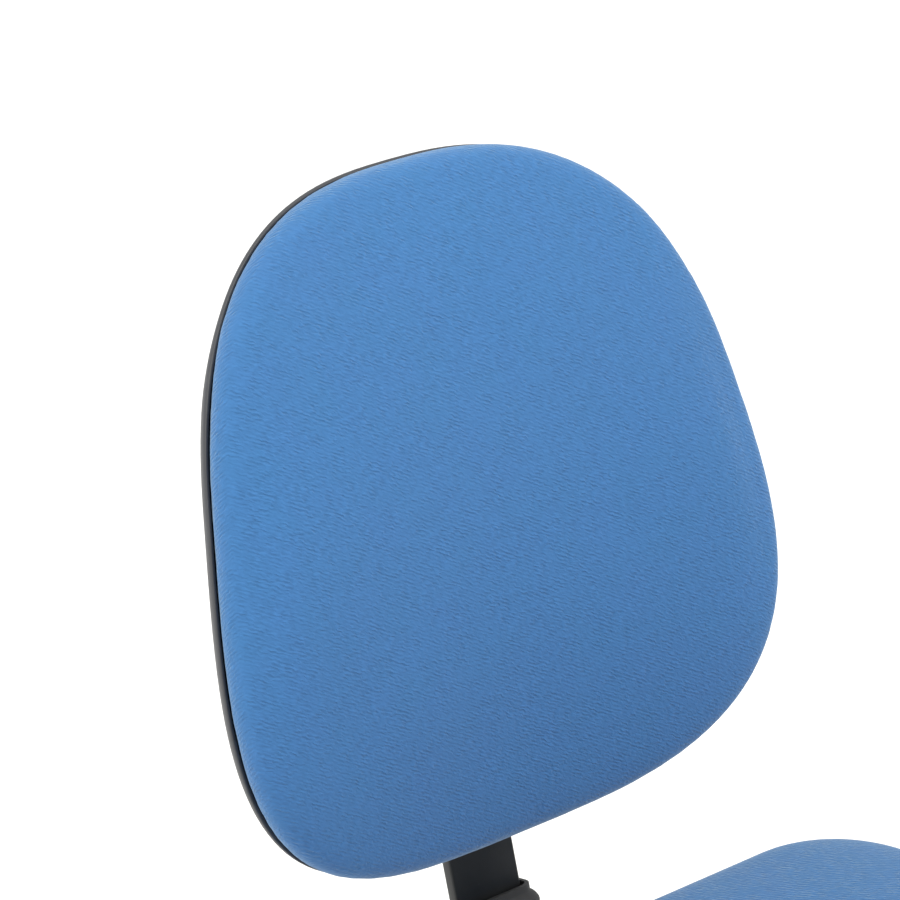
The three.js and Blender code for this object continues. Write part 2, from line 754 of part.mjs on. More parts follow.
// ---------- spine ----------
// The bar's middle line in Y and Z: level from the pivot, round the bend, then up parallel to the backrest.
const tiltSin = Math.sin(BACK_TILT);
const tiltCos = Math.cos(BACK_TILT);
const backPoint = (up) => [
  BACK_Y + up * tiltSin + BAR_BACK * tiltCos,
  BACK_Z + up * tiltCos - BAR_BACK * tiltSin,
];
const cornerUp = (PIVOT_Z - BACK_Z + BAR_BACK * tiltSin) / tiltCos;
const cornerY = backPoint(cornerUp)[0];
const turn = Math.PI / 2 - BACK_TILT;
const tangent = BAR_BEND_R * Math.tan(turn / 2);
const levelEnd = cornerY - tangent;
const arcLength = BAR_BEND_R * turn;
const bendStart = levelEnd - BAR_FRONT;
const barLength = bendStart + arcLength + BAR_TOP - cornerUp - tangent;

// The point and heading at a distance along the bar.
function along(distance) {
  if (distance <= bendStart) return { y: BAR_FRONT + distance, z: PIVOT_Z, heading: 0 };
  if (distance <= bendStart + arcLength) {
    const heading = (distance - bendStart) / BAR_BEND_R;
    return {
      y: levelEnd + BAR_BEND_R * Math.sin(heading),
      z: PIVOT_Z + BAR_BEND_R * (1 - Math.cos(heading)),
      heading,
    };
  }
  const left = distance - bendStart - arcLength;
  const end = along(bendStart + arcLength);
  return { y: end.y + left * Math.cos(turn), z: end.z + left * Math.sin(turn), heading: turn };
}

// A rounded-rectangle section square to the bar.
function barRing(distance, half, thick, corner) {
  const { y, z, heading } = along(distance);
  const ring = [];
  [
    [half - corner, thick - corner, 0],
    [-half + corner, thick - corner, 90],
    [-half + corner, -thick + corner, 180],
    [half - corner, -thick + corner, 270],
  ].forEach(([cx, cn, start]) => {
    for (let i = 0; i <= 2; i++) {
      const at = (start + 45 * i) * DEG;
      const x = cx + corner * Math.cos(at);
      const n = cn + corner * Math.sin(at);
      ring.push(new THREE.Vector3(x, y - n * Math.sin(heading), z + n * Math.cos(heading)));
    }
  });
  return ring;
}

function addSpine() {
  const stations = [0, bendStart];
  for (let i = 1; i <= 8; i++) stations.push(bendStart + (arcLength * i) / 8);
  stations.push(barLength);
  const bar = loft(stations.map((d) => barRing(d, BAR_HALF, BAR_THICK / 2, 3)));
  part("spine_bar", bar, BLACK_STEEL, column);

  const hub = alongX(11, -YOKE_HALF, YOKE_HALF, PIVOT_Y, PIVOT_Z, 20);
  const jaw = box(-YOKE_HALF, YOKE_HALF, PIVOT_Y, YOKE_REAR, PIVOT_Z - BAR_THICK, PIVOT_Z + BAR_THICK);
  const across = BAR_HALF + GAP;
  const up = BAR_THICK / 2 + GAP;
  const barRoom = box(-across, across, BAR_FRONT - GAP, YOKE_REAR + 8, PIVOT_Z - up, PIVOT_Z + up);
  const pinRoom = alongX(PIN_R + GAP, -40, 40, PIVOT_Y, PIVOT_Z, 20);
  part("spine_yoke", cut(join(hub, jaw), barRoom, pinRoom), BLACK_STEEL, column);

  // The concertina gaiter over the bend.
  const folds = 10;
  const from = 100;
  const to = bendStart + arcLength + 42;
  const rings = [];
  for (let i = 0; i <= folds * 2; i++) {
    const grow = i % 2 ? 0 : 4.5;
    rings.push(barRing(from + ((to - from) * i) / (folds * 2), 31 + grow, 13 + grow, 9));
  }
  for (let i = 8; i >= 0; i--) {
    rings.push(barRing(from + ((to - from) * i) / 8, 28.5, 9.5, 6));
  }
  part("spine_gaiter", loft(rings, true), RUBBER, column);
}
addSpine();

export default chair;
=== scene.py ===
"""Looks for the swivel office chair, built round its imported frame.

Metres, +Z up, floor at z = 0. The sitter faces -Y, and the sitter's right hand is at -X.
"""

import json
from math import atan2, copysign, cos, exp, pi, radians, sin, tan

import bmesh
import bpy
import numpy as np
from mathutils import Matrix, Vector


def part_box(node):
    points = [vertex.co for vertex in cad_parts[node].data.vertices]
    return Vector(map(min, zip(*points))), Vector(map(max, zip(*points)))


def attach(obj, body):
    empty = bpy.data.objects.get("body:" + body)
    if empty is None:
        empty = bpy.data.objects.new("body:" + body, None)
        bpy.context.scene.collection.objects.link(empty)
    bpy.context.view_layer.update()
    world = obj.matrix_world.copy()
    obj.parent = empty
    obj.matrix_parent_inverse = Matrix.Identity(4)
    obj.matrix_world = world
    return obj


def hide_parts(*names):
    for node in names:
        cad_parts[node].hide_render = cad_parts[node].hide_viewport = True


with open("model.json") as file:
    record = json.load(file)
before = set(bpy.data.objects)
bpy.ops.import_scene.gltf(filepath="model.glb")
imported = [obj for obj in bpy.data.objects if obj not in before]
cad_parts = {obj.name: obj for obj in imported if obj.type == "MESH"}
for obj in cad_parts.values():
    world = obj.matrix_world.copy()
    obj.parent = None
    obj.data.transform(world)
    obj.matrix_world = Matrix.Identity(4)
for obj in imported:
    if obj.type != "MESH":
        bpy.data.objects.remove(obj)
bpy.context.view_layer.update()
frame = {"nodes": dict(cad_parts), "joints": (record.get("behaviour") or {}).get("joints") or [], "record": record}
scene = bpy.context.scene

# --- driving dimensions ---
MM = 0.001
JOINTS = {joint["name"]: joint for joint in frame["joints"]}


def joint_point(name):
    return Vector(JOINTS[name]["pos_m"])


SWIVEL_Y = joint_point("seat_swivel").y
PIVOT = joint_point("back_recline")

# The backrest's own frame: X across, Y back, Z up its tilted face, origin at its centre on the seam plane.
BACK_UP = Vector(JOINTS["back_height"]["axis"])
BACK_OUT = Vector((0, BACK_UP.z, -BACK_UP.y))
KNOB_DEPTH = 62 * MM
KNOB_UP = -132 * MM
BACK_CENTRE = joint_point("back_knob_turn") - BACK_OUT * KNOB_DEPTH - BACK_UP * KNOB_UP


def axes_at(place, x, y, z):
    """A frame at a place, from the directions of its three axes."""
    return Matrix.Translation(place) @ Matrix((x, y, z)).transposed().to_4x4()


def moved(x, y, z):
    """A place in millimetres."""
    return Matrix.Translation(Vector((x, y, z)) * MM)


BACK_AT = axes_at(BACK_CENTRE, Vector((1, 0, 0)), BACK_OUT, BACK_UP)

BACK_HALF = 197 * MM  # half width at the centre's height
BACK_ABOVE = 181.6 * MM  # centre to top edge, and its superellipse exponent
POWER_ABOVE = 2.7
BACK_BELOW = 260.1 * MM  # centre to bottom edge, and its superellipse exponent
POWER_BELOW = 2.92
BACK_APEX = 1130 * MM  # height at which the sides' taper would meet
BEND_ACROSS = 0.686  # the sides come forward by this times x squared
BEND_UP = 0.22  # the top and bottom go back by this times z squared

COLUMN_AT = Matrix.Translation((0, SWIVEL_Y, 0))


def placed(x, y, z):
    """A place in the swivel frame, in millimetres."""
    return COLUMN_AT @ moved(x, y, z)


# --- mesh helpers ---
def added(name, data, at=Matrix()):
    """An object for its data, in the scene and in its place."""
    obj = bpy.data.objects.new(name, data)
    scene.collection.objects.link(obj)
    obj.matrix_world = at
    return obj


def new_object(name, verts, faces, at=Matrix()):
    mesh = bpy.data.meshes.new(name)
    mesh.from_pydata([tuple(v) for v in verts], [], faces)
    mesh.validate()
    bm = bmesh.new()
    bm.from_mesh(mesh)
    bmesh.ops.recalc_face_normals(bm, faces=bm.faces)
    bm.to_mesh(mesh)
    bm.free()
    return added(name, mesh, at)


def modified(obj, kind, **settings):
    """Adds one modifier and bakes it into the mesh."""
    modifier = obj.modifiers.new(kind, kind)
    for key, value in settings.items():
        setattr(modifier, key, value)
    graph = bpy.context.evaluated_depsgraph_get()
    graph.update()
    mesh = bpy.data.meshes.new_from_object(obj.evaluated_get(graph))
    obj.modifiers.clear()
    old = obj.data
    obj.data = mesh
    bpy.data.meshes.remove(old)
    return obj


def rounded_edges(obj, width, segments=3, angle=35):
    """Rounds the edges sharper than angle, over a width in millimetres."""
    return modified(
        obj, "BEVEL", width=width * MM, segments=segments, limit_method="ANGLE",
        angle_limit=radians(angle), harden_normals=False, use_clamp_overlap=True,
    )


def shaded(obj, angle=40):
    """Smooth shading, with edges sharper than angle kept sharp."""
    obj.data.shade_smooth()
    obj.data.set_sharp_from_angle(angle=radians(angle))
    return obj


def boolean(obj, operation, *tools):
    for tool in tools:
        modified(obj, "BOOLEAN", operation=operation, object=tool, solver="EXACT")
        bpy.data.objects.remove(tool)
    return obj


def united(obj, *tools):
    return boolean(obj, "UNION", *tools)


def carved(obj, *tools):
    return boolean(obj, "DIFFERENCE", *tools)


def copied(obj, name, at):
    """A second object with its own copy of the mesh."""
    return added(name, obj.data.copy(), at)


def joined(name, pieces):
    """Several solids as one object, in the first one's place."""
    bm = bmesh.new()
    home = pieces[0].matrix_world.inverted()
    for piece in pieces:
        mesh = piece.data.copy()
        mesh.transform(home @ piece.matrix_world)
        bm.from_mesh(mesh)
        bpy.data.meshes.remove(mesh)
    first = pieces[0]
    bm.to_mesh(first.data)
    bm.free()
    for piece in pieces[1:]:
        bpy.data.objects.remove(piece)
    first.name = name
    return first


def loft(name, rings, at=Matrix(), hollow=False):
    """A closed skin over rings, capped at its ends or joined end to end."""
    n = len(rings[0])
    verts = [point for ring in rings for point in ring]
    rows = [[k * n + i for i in range(n)] for k in range(len(rings))]
    pairs = list(zip(rows, rows[1:]))
    if hollow:
        pairs.append((rows[-1], rows[0]))
    faces = [(a[i], a[(i + 1) % n], b[(i + 1) % n], b[i]) for a, b in pairs for i in range(n)]
    if not hollow:
        for row in (rows[0], rows[-1]):
            middle = sum((Vector(verts[i]) for i in row), Vector()) / n
            verts.append(middle)
            faces += [(row[i], row[(i + 1) % n], len(verts) - 1) for i in range(n)]
    return new_object(name, verts, faces, at)


def revolve(name, profile, at=Matrix(), sides=64):
    """A solid of revolution about Z from (radius, z) points; off the axis, the outline is closed."""
    verts, rows = [], []
    for r, z in profile:
        count = 1 if r == 0 else sides
        rows.append([len(verts) + i for i in range(count)])
        verts += [(r * cos(2 * pi * i / sides), r * sin(2 * pi * i / sides), z) for i in range(count)]
    pairs = list(zip(rows, rows[1:]))
    if profile[0][0] > 0 or profile[-1][0] > 0:
        pairs.append((rows[-1], rows[0]))
    faces = []
    for a, b in pairs:
        for i in range(sides):
            j = (i + 1) % sides
            corners = [a[i % len(a)], a[j % len(a)], b[j % len(b)], b[i % len(b)]]
            face = list(dict.fromkeys(corners))
            if len(face) > 2:
                faces.append(face)
    return new_object(name, verts, faces, at)


def softened(points, radius, steps=4):
    """An open outline with its inner corners rounded off."""
    points = [Vector(p) for p in points]
    out = [points[0]]
    for before, here, after in zip(points, points[1:], points[2:]):
        reach = min(radius, (before - here).length / 2, (after - here).length / 2)
        start = here + (before - here).normalized() * reach
        end = here + (after - here).normalized() * reach
        for i in range(steps + 1):
            t = i / steps
            out.append(start * (1 - t) ** 2 + here * 2 * t * (1 - t) + end * t**2)
    out.append(points[-1])
    return [tuple(p) for p in out]


def turned(name, profile, radius, at=Matrix(), sides=64):
    """revolve(), in millimetres and with rounded corners."""
    scaled = [(r * MM, z * MM) for r, z in profile]
    if profile[0][0] > 0:
        middle = tuple((a + b) / 2 for a, b in zip(scaled[0], scaled[-1]))
        scaled = [middle, *scaled, middle]
        return shaded(revolve(name, softened(scaled, radius * MM)[:-1], at, sides), 50)
    return shaded(revolve(name, softened(scaled, radius * MM), at, sides), 50)


def extruded(name, outline, low, high, at=Matrix()):
    """A flat outline in X and Y, given depth along Z from low to high, in millimetres."""
    n = len(outline)
    verts = [(x * MM, y * MM, z * MM) for z in (low, high) for x, y in outline]
    faces = [tuple(range(n)), tuple(range(n, 2 * n))]
    faces += [(i, (i + 1) % n, n + (i + 1) % n, n + i) for i in range(n)]
    return new_object(name, verts, faces, at)


def block(name, low, high, at=Matrix(), edge=0.0, segments=3):
    """A box between two corners, in millimetres."""
    (x0, y0, z0), (x1, y1, z1) = low, high
    obj = extruded(name, [(x0, y0), (x1, y0), (x1, y1), (x0, y1)], z0, z1, at)
    return rounded_edges(obj, edge, segments) if edge else obj


def cylinder(name, radius, low, high, at=Matrix(), edge=0.6, sides=48):
    """A round bar along its own Z, in millimetres."""
    profile = [(0, low), (radius, low), (radius, high), (0, high)]
    return turned(name, profile, edge, at, sides)


def arc(cx, cy, radius, start, end, steps):
    """Points on an arc, angles in degrees."""
    angles = [radians(start + (end - start) * i / steps) for i in range(steps + 1)]
    return [(cx + radius * cos(a), cy + radius * sin(a)) for a in angles]


def rounded_rectangle(half_x, half_y, radius, steps=6):
    """Points of a rectangle about the origin with round corners."""
    x, y = half_x - radius, half_y - radius
    corners = [(x, y, 0), (-x, y, 90), (-x, -y, 180), (x, -y, 270)]
    return [p for cx, cy, start in corners for p in arc(cx, cy, radius, start, start + 90, steps)]


X_AXIS_AT = Matrix.Rotation(pi / 2, 4, "Y")
Y_AXIS_AT = Matrix.Rotation(-pi / 2, 4, "X")


# --- materials ---
class Finish:
    """A material, with short calls for its nodes."""

    def __init__(self, name, roughness, metallic=0.0, specular=0.5):
        self.material = bpy.data.materials.new(name)
        self.material.use_nodes = True
        self.tree = self.material.node_tree
        self.shader = self.tree.nodes["Principled BSDF"]
        self.set("Roughness", roughness)
        self.set("Metallic", metallic)
        self.set("Specular IOR Level", specular)
        self.place = self.add("ShaderNodeTexCoord", {})
        self.position = self.place.outputs["Object"]

    def add(self, kind, inputs, **settings):
        """A node, with a value or a link on each given input."""
        node = self.tree.nodes.new(kind)
        for key, value in settings.items():
            setattr(node, key, value)
        for key, value in inputs.items():
            self.feed(node.inputs[key], value)
        return node

    def feed(self, socket, value):
        if isinstance(value, bpy.types.NodeSocket):
            self.tree.links.new(value, socket)
        else:
            socket.default_value = value

    def set(self, name, value):
        self.feed(self.shader.inputs[name], value)

    def maths(self, operation, a, b=0.0, c=0.0):
        return self.add("ShaderNodeMath", {0: a, 1: b, 2: c}, operation=operation).outputs[0]

    def stretched(self, scale):
        """The position, scaled along each axis."""
        return self.add("ShaderNodeMapping", {"Vector": self.position, "Scale": scale}).outputs[0]

    def noise(self, scale, detail=3.0, roughness=0.55, position=None):
        inputs = {"Scale": scale, "Detail": detail, "Roughness": roughness}
        inputs["Vector"] = position or self.position
        return self.add("ShaderNodeTexNoise", inputs).outputs["Fac"]

    def spread(self, value, low, high, start=0.3, end=0.7):
        """value's range from start to end, stretched to low to high."""
        inputs = dict(enumerate((value, start, end, low, high)))
        return self.add("ShaderNodeMapRange", inputs).outputs[0]

    def mix(self, factor, a, b):
        return self.add("ShaderNodeMix", {0: factor, 6: a, 7: b}, data_type="RGBA").outputs[2]

    def scaled(self, color, factor):
        """A colour from a node, made lighter or darker."""
        inputs = {0: color, "Scale": factor}
        return self.add("ShaderNodeVectorMath", inputs, operation="SCALE").outputs[0]

    def bump(self, height, distance, strength=1.0):
        """Adds relief; a second call lies over the first."""
        inputs = {"Height": height, "Distance": distance, "Strength": strength}
        node = self.add("ShaderNodeBump", inputs)
        links = self.shader.inputs["Normal"].links
        if links:
            self.feed(node.inputs["Normal"], links[0].from_socket)
        self.set("Normal", node.outputs[0])


def shade(color, factor):
    """A colour made lighter or darker, as a node's RGBA."""
    return (*(min(1.0, channel * factor) for channel in color), 1.0)


WEAVE_PITCH = 2.7 * MM
FLOAT_LENGTH = 6.5 * MM


def weave(finish, across, along):
    """Height of a crepe-twill weave at two surface coordinates: slanting ribs of short floats."""
    wander = finish.maths("MULTIPLY", finish.noise(300, 2), 3.6 * MM)
    u = finish.maths("ADD", across, wander)
    slant = finish.maths("MULTIPLY_ADD", u, 0.62, along)
    ribs = finish.maths("COSINE", finish.maths("MULTIPLY", slant, 2 * pi / WEAVE_PITCH))
    down = finish.maths("MULTIPLY", slant, 1.7 / WEAVE_PITCH)
    side = finish.maths("MULTIPLY", u, 1.7 / FLOAT_LENGTH)
    place = finish.add("ShaderNodeCombineXYZ", {0: down, 1: side})
    floats = finish.spread(finish.noise(1, 1, position=place.outputs[0]), -0.5, 0.5)
    patches = finish.spread(finish.noise(110, 2), 0.5, 1.0, 0.38, 0.62)
    height = finish.maths("MULTIPLY_ADD", ribs, 0.2, finish.maths("MULTIPLY", floats, 0.75))
    return finish.maths("MULTIPLY_ADD", height, patches, 0.5)


def fabric(name, face_axis, painted_shade_scale=1.0):
    """Blue crepe-twill upholstery. face_axis is the local axis that the pad's face looks along. The last argument
    scales the whole cloth darker as painted shade.
    """
    finish = Finish(name, 0.92, specular=0.25)
    # Scaling the base colour down is painted shade, not a darker dye.
    base = tuple(painted_shade_scale * channel for channel in (0.034, 0.122, 0.298))
    axes = finish.add("ShaderNodeSeparateXYZ", {0: finish.position}).outputs
    normal = finish.add("ShaderNodeSeparateXYZ", {0: finish.place.outputs["Normal"]})
    height = 0.0
    total = 0.0
    for axis in range(3):
        power = 4 if axis == face_axis else 8
        weight = finish.maths("POWER", finish.maths("ABSOLUTE", normal.outputs[axis]), power)
        first, second = [axes[k] for k in range(3) if k != axis]
        height = finish.maths("ADD", finish.maths("MULTIPLY", weave(finish, first, second), weight), height)
        total = finish.maths("ADD", total, weight)
    height = finish.maths("DIVIDE", height, total)
    yarn = finish.noise(2600, 2)
    mottle = finish.noise(38, 3)
    # Darker in the weave's hollows and lighter on its raised floats: painted shade and painted highlight on top of
    # the bump's relief.
    tone = finish.mix(finish.spread(height, 0, 1, 0.15, 0.85), shade(base, 0.77), shade(base, 1.16))
    blotch = finish.spread(finish.noise(120, 3), 0, 1)
    tone = finish.mix(blotch, finish.scaled(tone, 0.95), finish.scaled(tone, 1.05))
    tone = finish.mix(finish.spread(yarn, 0, 0.35), tone, shade(base, 1.3))
    tone = finish.mix(finish.spread(mottle, 0, 0.30), tone, shade((0.029, 0.131, 0.289), painted_shade_scale))
    drift = finish.spread(finish.noise(9, 2), 0, 0.16)
    finish.set("Base Color", finish.mix(drift, tone, shade((0.043, 0.113, 0.274), painted_shade_scale)))
    finish.set("Roughness", finish.spread(yarn, 0.86, 0.98))
    finish.set("Sheen Weight", 0.3)
    finish.set("Sheen Roughness", 0.45)
    finish.set("Sheen Tint", (0.78, 0.91, 0.92, 1))
    finish.bump(height, 0.6 * MM, 0.9)
    finish.bump(yarn, 0.10 * MM, 0.6)
    finish.bump(mottle, 0.5 * MM, 0.25)
    return finish.material


def moulded(name, color, roughness, grain, depth, dust=0.0):
    """Moulded plastic: fine eroded grain, slight cloudiness, and dust near the floor."""
    finish = Finish(name, roughness, specular=0.45)
    cloud = finish.noise(22, 4)
    rub = finish.noise(160, 5, 0.65, finish.stretched((1, 1, 0.25)))
    tone = finish.mix(finish.spread(cloud, 0, 1), shade(color, 0.85), shade(color, 1.2))
    tone = finish.mix(finish.spread(rub, 0, 0.25, 0.58, 0.75), tone, shade(color, 2.6))
    if dust:
        settled_dust = finish.spread(finish.noise(55, 5, 0.7), 0, dust, 0.45, 0.8)
        tone = finish.mix(settled_dust, tone, (0.22, 0.21, 0.19, 1))
    finish.set("Base Color", tone)
    finish.set("Roughness", finish.spread(cloud, roughness - 0.07, roughness + 0.08))
    inputs = {"Vector": finish.position, "Scale": grain}
    cells = finish.add("ShaderNodeTexVoronoi", inputs, feature="SMOOTH_F1")
    finish.bump(cells.outputs["Distance"], depth * MM, 0.7)
    return finish.material


def powder_coat(name, color):
    """Black powder-coated steel: orange-peel surface with a few rubbed places."""
    finish = Finish(name, 0.38, specular=0.28)
    peel = finish.noise(520, 2)
    cloud = finish.noise(18, 3)
    rub = finish.spread(finish.noise(95, 5, 0.7), 0, 0.5, 0.66, 0.8)
    tone = finish.mix(finish.spread(cloud, 0, 1), shade(color, 0.85), shade(color, 1.25))
    finish.set("Base Color", finish.mix(rub, tone, (0.11, 0.11, 0.115, 1)))
    finish.set("Roughness", finish.spread(cloud, 0.32, 0.46))
    finish.bump(peel, 0.08 * MM, 0.5)
    return finish.material


def bare_metal(name, color, roughness, scratch=0.5):
    """Plated or polished steel with fine turning marks and faint stains."""
    finish = Finish(name, roughness, 1.0)
    marks = finish.noise(60, 4, 0.6, finish.stretched((1, 1, 26)))
    stain = finish.noise(70, 4)
    finish.set("Base Color", finish.mix(finish.spread(stain, 0, 1), shade(color, 0.82), shade(color, 1.06)))
    finish.set("Roughness", finish.spread(marks, roughness * 0.7, roughness * 1.4))
    finish.bump(marks, 0.02 * MM, scratch)
    return finish.material


def rubber(name, color):
    """Soft black rubber: matt, with patches of bloom and a fine skin texture."""
    finish = Finish(name, 0.72)
    bloom = finish.noise(48, 4, 0.6)
    skin = finish.noise(1400, 2)
    finish.set("Base Color", finish.mix(finish.spread(bloom, 0, 0.5), shade(color, 0.8), shade(color, 2.6)))
    finish.set("Roughness", finish.spread(bloom, 0.62, 0.82))
    finish.bump(skin, 0.06 * MM, 0.5)
    return finish.material


def plywood(name):
    """Bare beech plywood: long grain with pores."""
    finish = Finish(name, 0.65)
    grain = finish.noise(30, 6, 0.65, finish.stretched((1, 9, 9)))
    pores = finish.spread(finish.noise(600, 2, 0.5, finish.stretched((0.08, 1, 1))), 0, 0.5, 0.55, 0.75)
    tone = finish.mix(finish.spread(grain, 0, 1), (0.46, 0.30, 0.165, 1), (0.66, 0.48, 0.30, 1))
    finish.set("Base Color", finish.mix(pores, tone, (0.28, 0.17, 0.09, 1)))
    finish.bump(grain, 0.1 * MM, 0.4)
    return finish.material


MATERIALS = {
    "back_fabric": fabric("back_fabric", 1),
    # The seat's cloth is the back's cloth at 0.8 of its lightness: painted shade that offsets the seat's stronger
    # light from above.
    "seat_fabric": fabric("seat_fabric", 2, 0.8),
    "shell_plastic": moulded("shell_plastic", (0.031, 0.033, 0.039), 0.46, 700, 0.06),
    "base_nylon": moulded("base_nylon", (0.022, 0.023, 0.025), 0.44, 1100, 0.05, dust=0.10),
    "castor_nylon": moulded("castor_nylon", (0.020, 0.021, 0.023), 0.36, 1300, 0.03, dust=0.16),
    "wheel_nylon": moulded("wheel_nylon", (0.024, 0.025, 0.027), 0.42, 1500, 0.03, dust=0.34),
    "grip_plastic": moulded("grip_plastic", (0.022, 0.022, 0.024), 0.50, 1000, 0.05),
    "bearing_plastic": moulded("bearing_plastic", (0.60, 0.59, 0.55), 0.40, 1500, 0.02),
    "plated_steel": bare_metal("plated_steel", (0.62, 0.63, 0.64), 0.30),
    "lift_chrome": bare_metal("lift_chrome", (0.80, 0.81, 0.82), 0.09, 0.1),
    "black_steel": powder_coat("black_steel", (0.014, 0.015, 0.016)),
    "gaiter_rubber": rubber("gaiter_rubber", (0.017, 0.017, 0.018)),
    "plywood": plywood("plywood"),
}
NODE_SLOT = {entry["node"]: entry["material_slot"] for entry in frame["record"]["subparts"]}
BODIES = frame["record"]["behaviour"]["bodies"]
NODE_BODY = {node: body for body, nodes in BODIES.items() for node in nodes}


def coated(obj, slot):
    obj.data.materials.clear()
    obj.data.materials.append(MATERIALS[slot])


def fitted(obj, slot, body):
    """Gives a piece its material, slot and body."""
    coated(obj, slot)
    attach(obj, body)


def replacing(obj, node):
    """Gives a piece the slot and the body of the CAD node that it stands for."""
    fitted(obj, NODE_SLOT[node], NODE_BODY[node])
    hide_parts(node)


def finish_cad_nodes():
    """Gives the CAD meshes that stay in view the material of their own slot."""
    for name, node in frame["nodes"].items():
        coated(node, NODE_SLOT[name])


# --- pads ---
def eased(profile, steps):
    """A smooth curve through a list of points, by Catmull-Rom."""
    points = [Vector(p) for p in profile]
    ends = [2 * points[0] - points[1], *points, 2 * points[-1] - points[-2]]
    out = []
    for p0, p1, p2, p3 in zip(ends, ends[1:], ends[2:], ends[3:]):
        for i in range(steps):
            t = i / steps
            out.append(
                0.5 * (2 * p1 + (p2 - p0) * t + (2 * p0 - 5 * p1 + 4 * p2 - p3) * t**2
                       + (3 * p1 - p0 - 3 * p2 + p3) * t**3)
            )
    out.append(points[-1])
    return out


def plump(obj, shrink, cap, holds):
    """Stretches the cover over its foam: remesh, then a short cloth simulation under pressure.

    holds(point) is how firmly the cover is held there, from 0, free, to 1, fixed.
    """
    pattern = copied(obj, "pattern", obj.matrix_world)
    modified(obj, "REMESH", mode="VOXEL", voxel_size=5 * MM)
    modified(obj, "SMOOTH", factor=0.5, iterations=6)
    modified(obj, "SHRINKWRAP", target=pattern, wrap_method="NEAREST_SURFACEPOINT")
    bpy.data.objects.remove(pattern)
    mesh = obj.data
    pinned = obj.vertex_groups.new(name="pinned")
    for vertex in mesh.vertices:
        pinned.add([vertex.index], holds(vertex.co), "REPLACE")
    for vertex, normal in [(v, v.normal.copy()) for v in mesh.vertices]:
        vertex.co -= normal * shrink * (1 - holds(vertex.co))
    start = np.array([vertex.co for vertex in mesh.vertices])
    cloth = obj.modifiers.new("cloth", "CLOTH")
    values = dict(
        quality=6, tension_stiffness=20, compression_stiffness=20, bending_stiffness=2,
        use_pressure=True, uniform_pressure_force=4, vertex_group_mass="pinned",
    )
    for key, value in values.items():
        setattr(cloth.settings, key, value)
    cloth.settings.effector_weights.gravity = 0
    for step in range(1, 21):
        scene.frame_set(step)
    graph = bpy.context.evaluated_depsgraph_get()
    moved = np.array([v.co for v in obj.evaluated_get(graph).data.vertices])
    obj.modifiers.clear()
    scene.frame_set(1)
    change = evened(mesh, moved - start, 16)
    furthest = np.linalg.norm(change, axis=1).max()
    change *= min(1, cap / furthest)
    for vertex, point in zip(mesh.vertices, start + change):
        vertex.co = point
    obj.vertex_groups.clear()
    modified(obj, "SUBSURF", levels=1, render_levels=1)
    obj.data.shade_smooth()
    return obj


def evened(mesh, change, rounds):
    """Each vertex's movement, averaged with its neighbours' to leave no creases."""
    edges = np.array([edge.vertices for edge in mesh.edges])
    degree = np.bincount(edges.ravel(), minlength=len(change))[:, None]
    for step in range(rounds):
        near = np.zeros_like(change)
        np.add.at(near, edges[:, 0], change[edges[:, 1]])
        np.add.at(near, edges[:, 1], change[edges[:, 0]])
        change = (change + near / degree) / 2
    return change


def bend(point):
    """How far back the backrest's curve is at a point in its own frame."""
    return BEND_UP * point.z**2 - BEND_ACROSS * point.x**2


def back_ring(scale, depth, count=160):
    """The backrest's egg-shaped outline at a scale, set back by depth."""
    ring = []
    for i in range(count):
        up, across = sin(2 * pi * i / count), cos(2 * pi * i / count)
        power = 2 / (POWER_ABOVE if up > 0 else POWER_BELOW)
        z = (BACK_ABOVE if up > 0 else BACK_BELOW) * copysign(abs(up) ** power, up)
        x = BACK_HALF * copysign(abs(across) ** power, across) * (1 - z / BACK_APEX)
        point = Vector((x, 0, z)) * scale
        point.y = depth + bend(point)
        ring.append(point)
    return ring


def back_skin(name, profile):
    """A smooth skin over the backrest's outline, from (scale, depth in mm) points."""
    rings = [back_ring(scale, depth * MM) for scale, depth in eased(profile, 3)]
    return loft(name, rings, BACK_AT)


def eased_step(value, start, end):
    """0 before start, 1 after end, and a smooth rise between."""
    t = min(1, max(0, (value - start) / (end - start)))
    return t * t * (3 - 2 * t)


def near_top(point):
    """1 on the backrest's upper part, and 0 below it."""
    return eased_step(point.z, 70 * MM, 125 * MM)


PAD_OVERHANG = 0.010
LUMBAR = 10 * MM
LUMBAR_UP = -40 * MM
LUMBAR_REACH = 95 * MM


def make_back_pad():
    """The front cushion, fullest at the small of the back."""
    profile = [
        (0.10, 3.6), (0.5, 3.6), (0.93, 3.4), (0.975, 2), (0.982, -1.5), (0.996, -4), (1.002, -10),
        (0.997, -18), (0.971, -26), (0.905, -32.3), (0.78, -37), (0.5, -41), (0.25, -42.8), (0.06, -43.2),
    ]
    pad = back_skin("back_cushion", profile)
    for vertex in pad.data.vertices:
        point = vertex.co
        bulge = LUMBAR * exp(-(((point.z - LUMBAR_UP) / LUMBAR_REACH) ** 2))
        point.y -= bulge * eased_step(bend(point) - point.y, 30 * MM, 41 * MM)
        point.x *= 1 + PAD_OVERHANG * near_top(point)

    def holds(point):
        return min(1, max(0, (point.y - bend(point) + 32 * MM) / (14 * MM)))

    plump(pad, 1.5 * MM, 7 * MM, holds)
    replacing(pad, "back_pad")


RIM_SLIMMING = 0.3


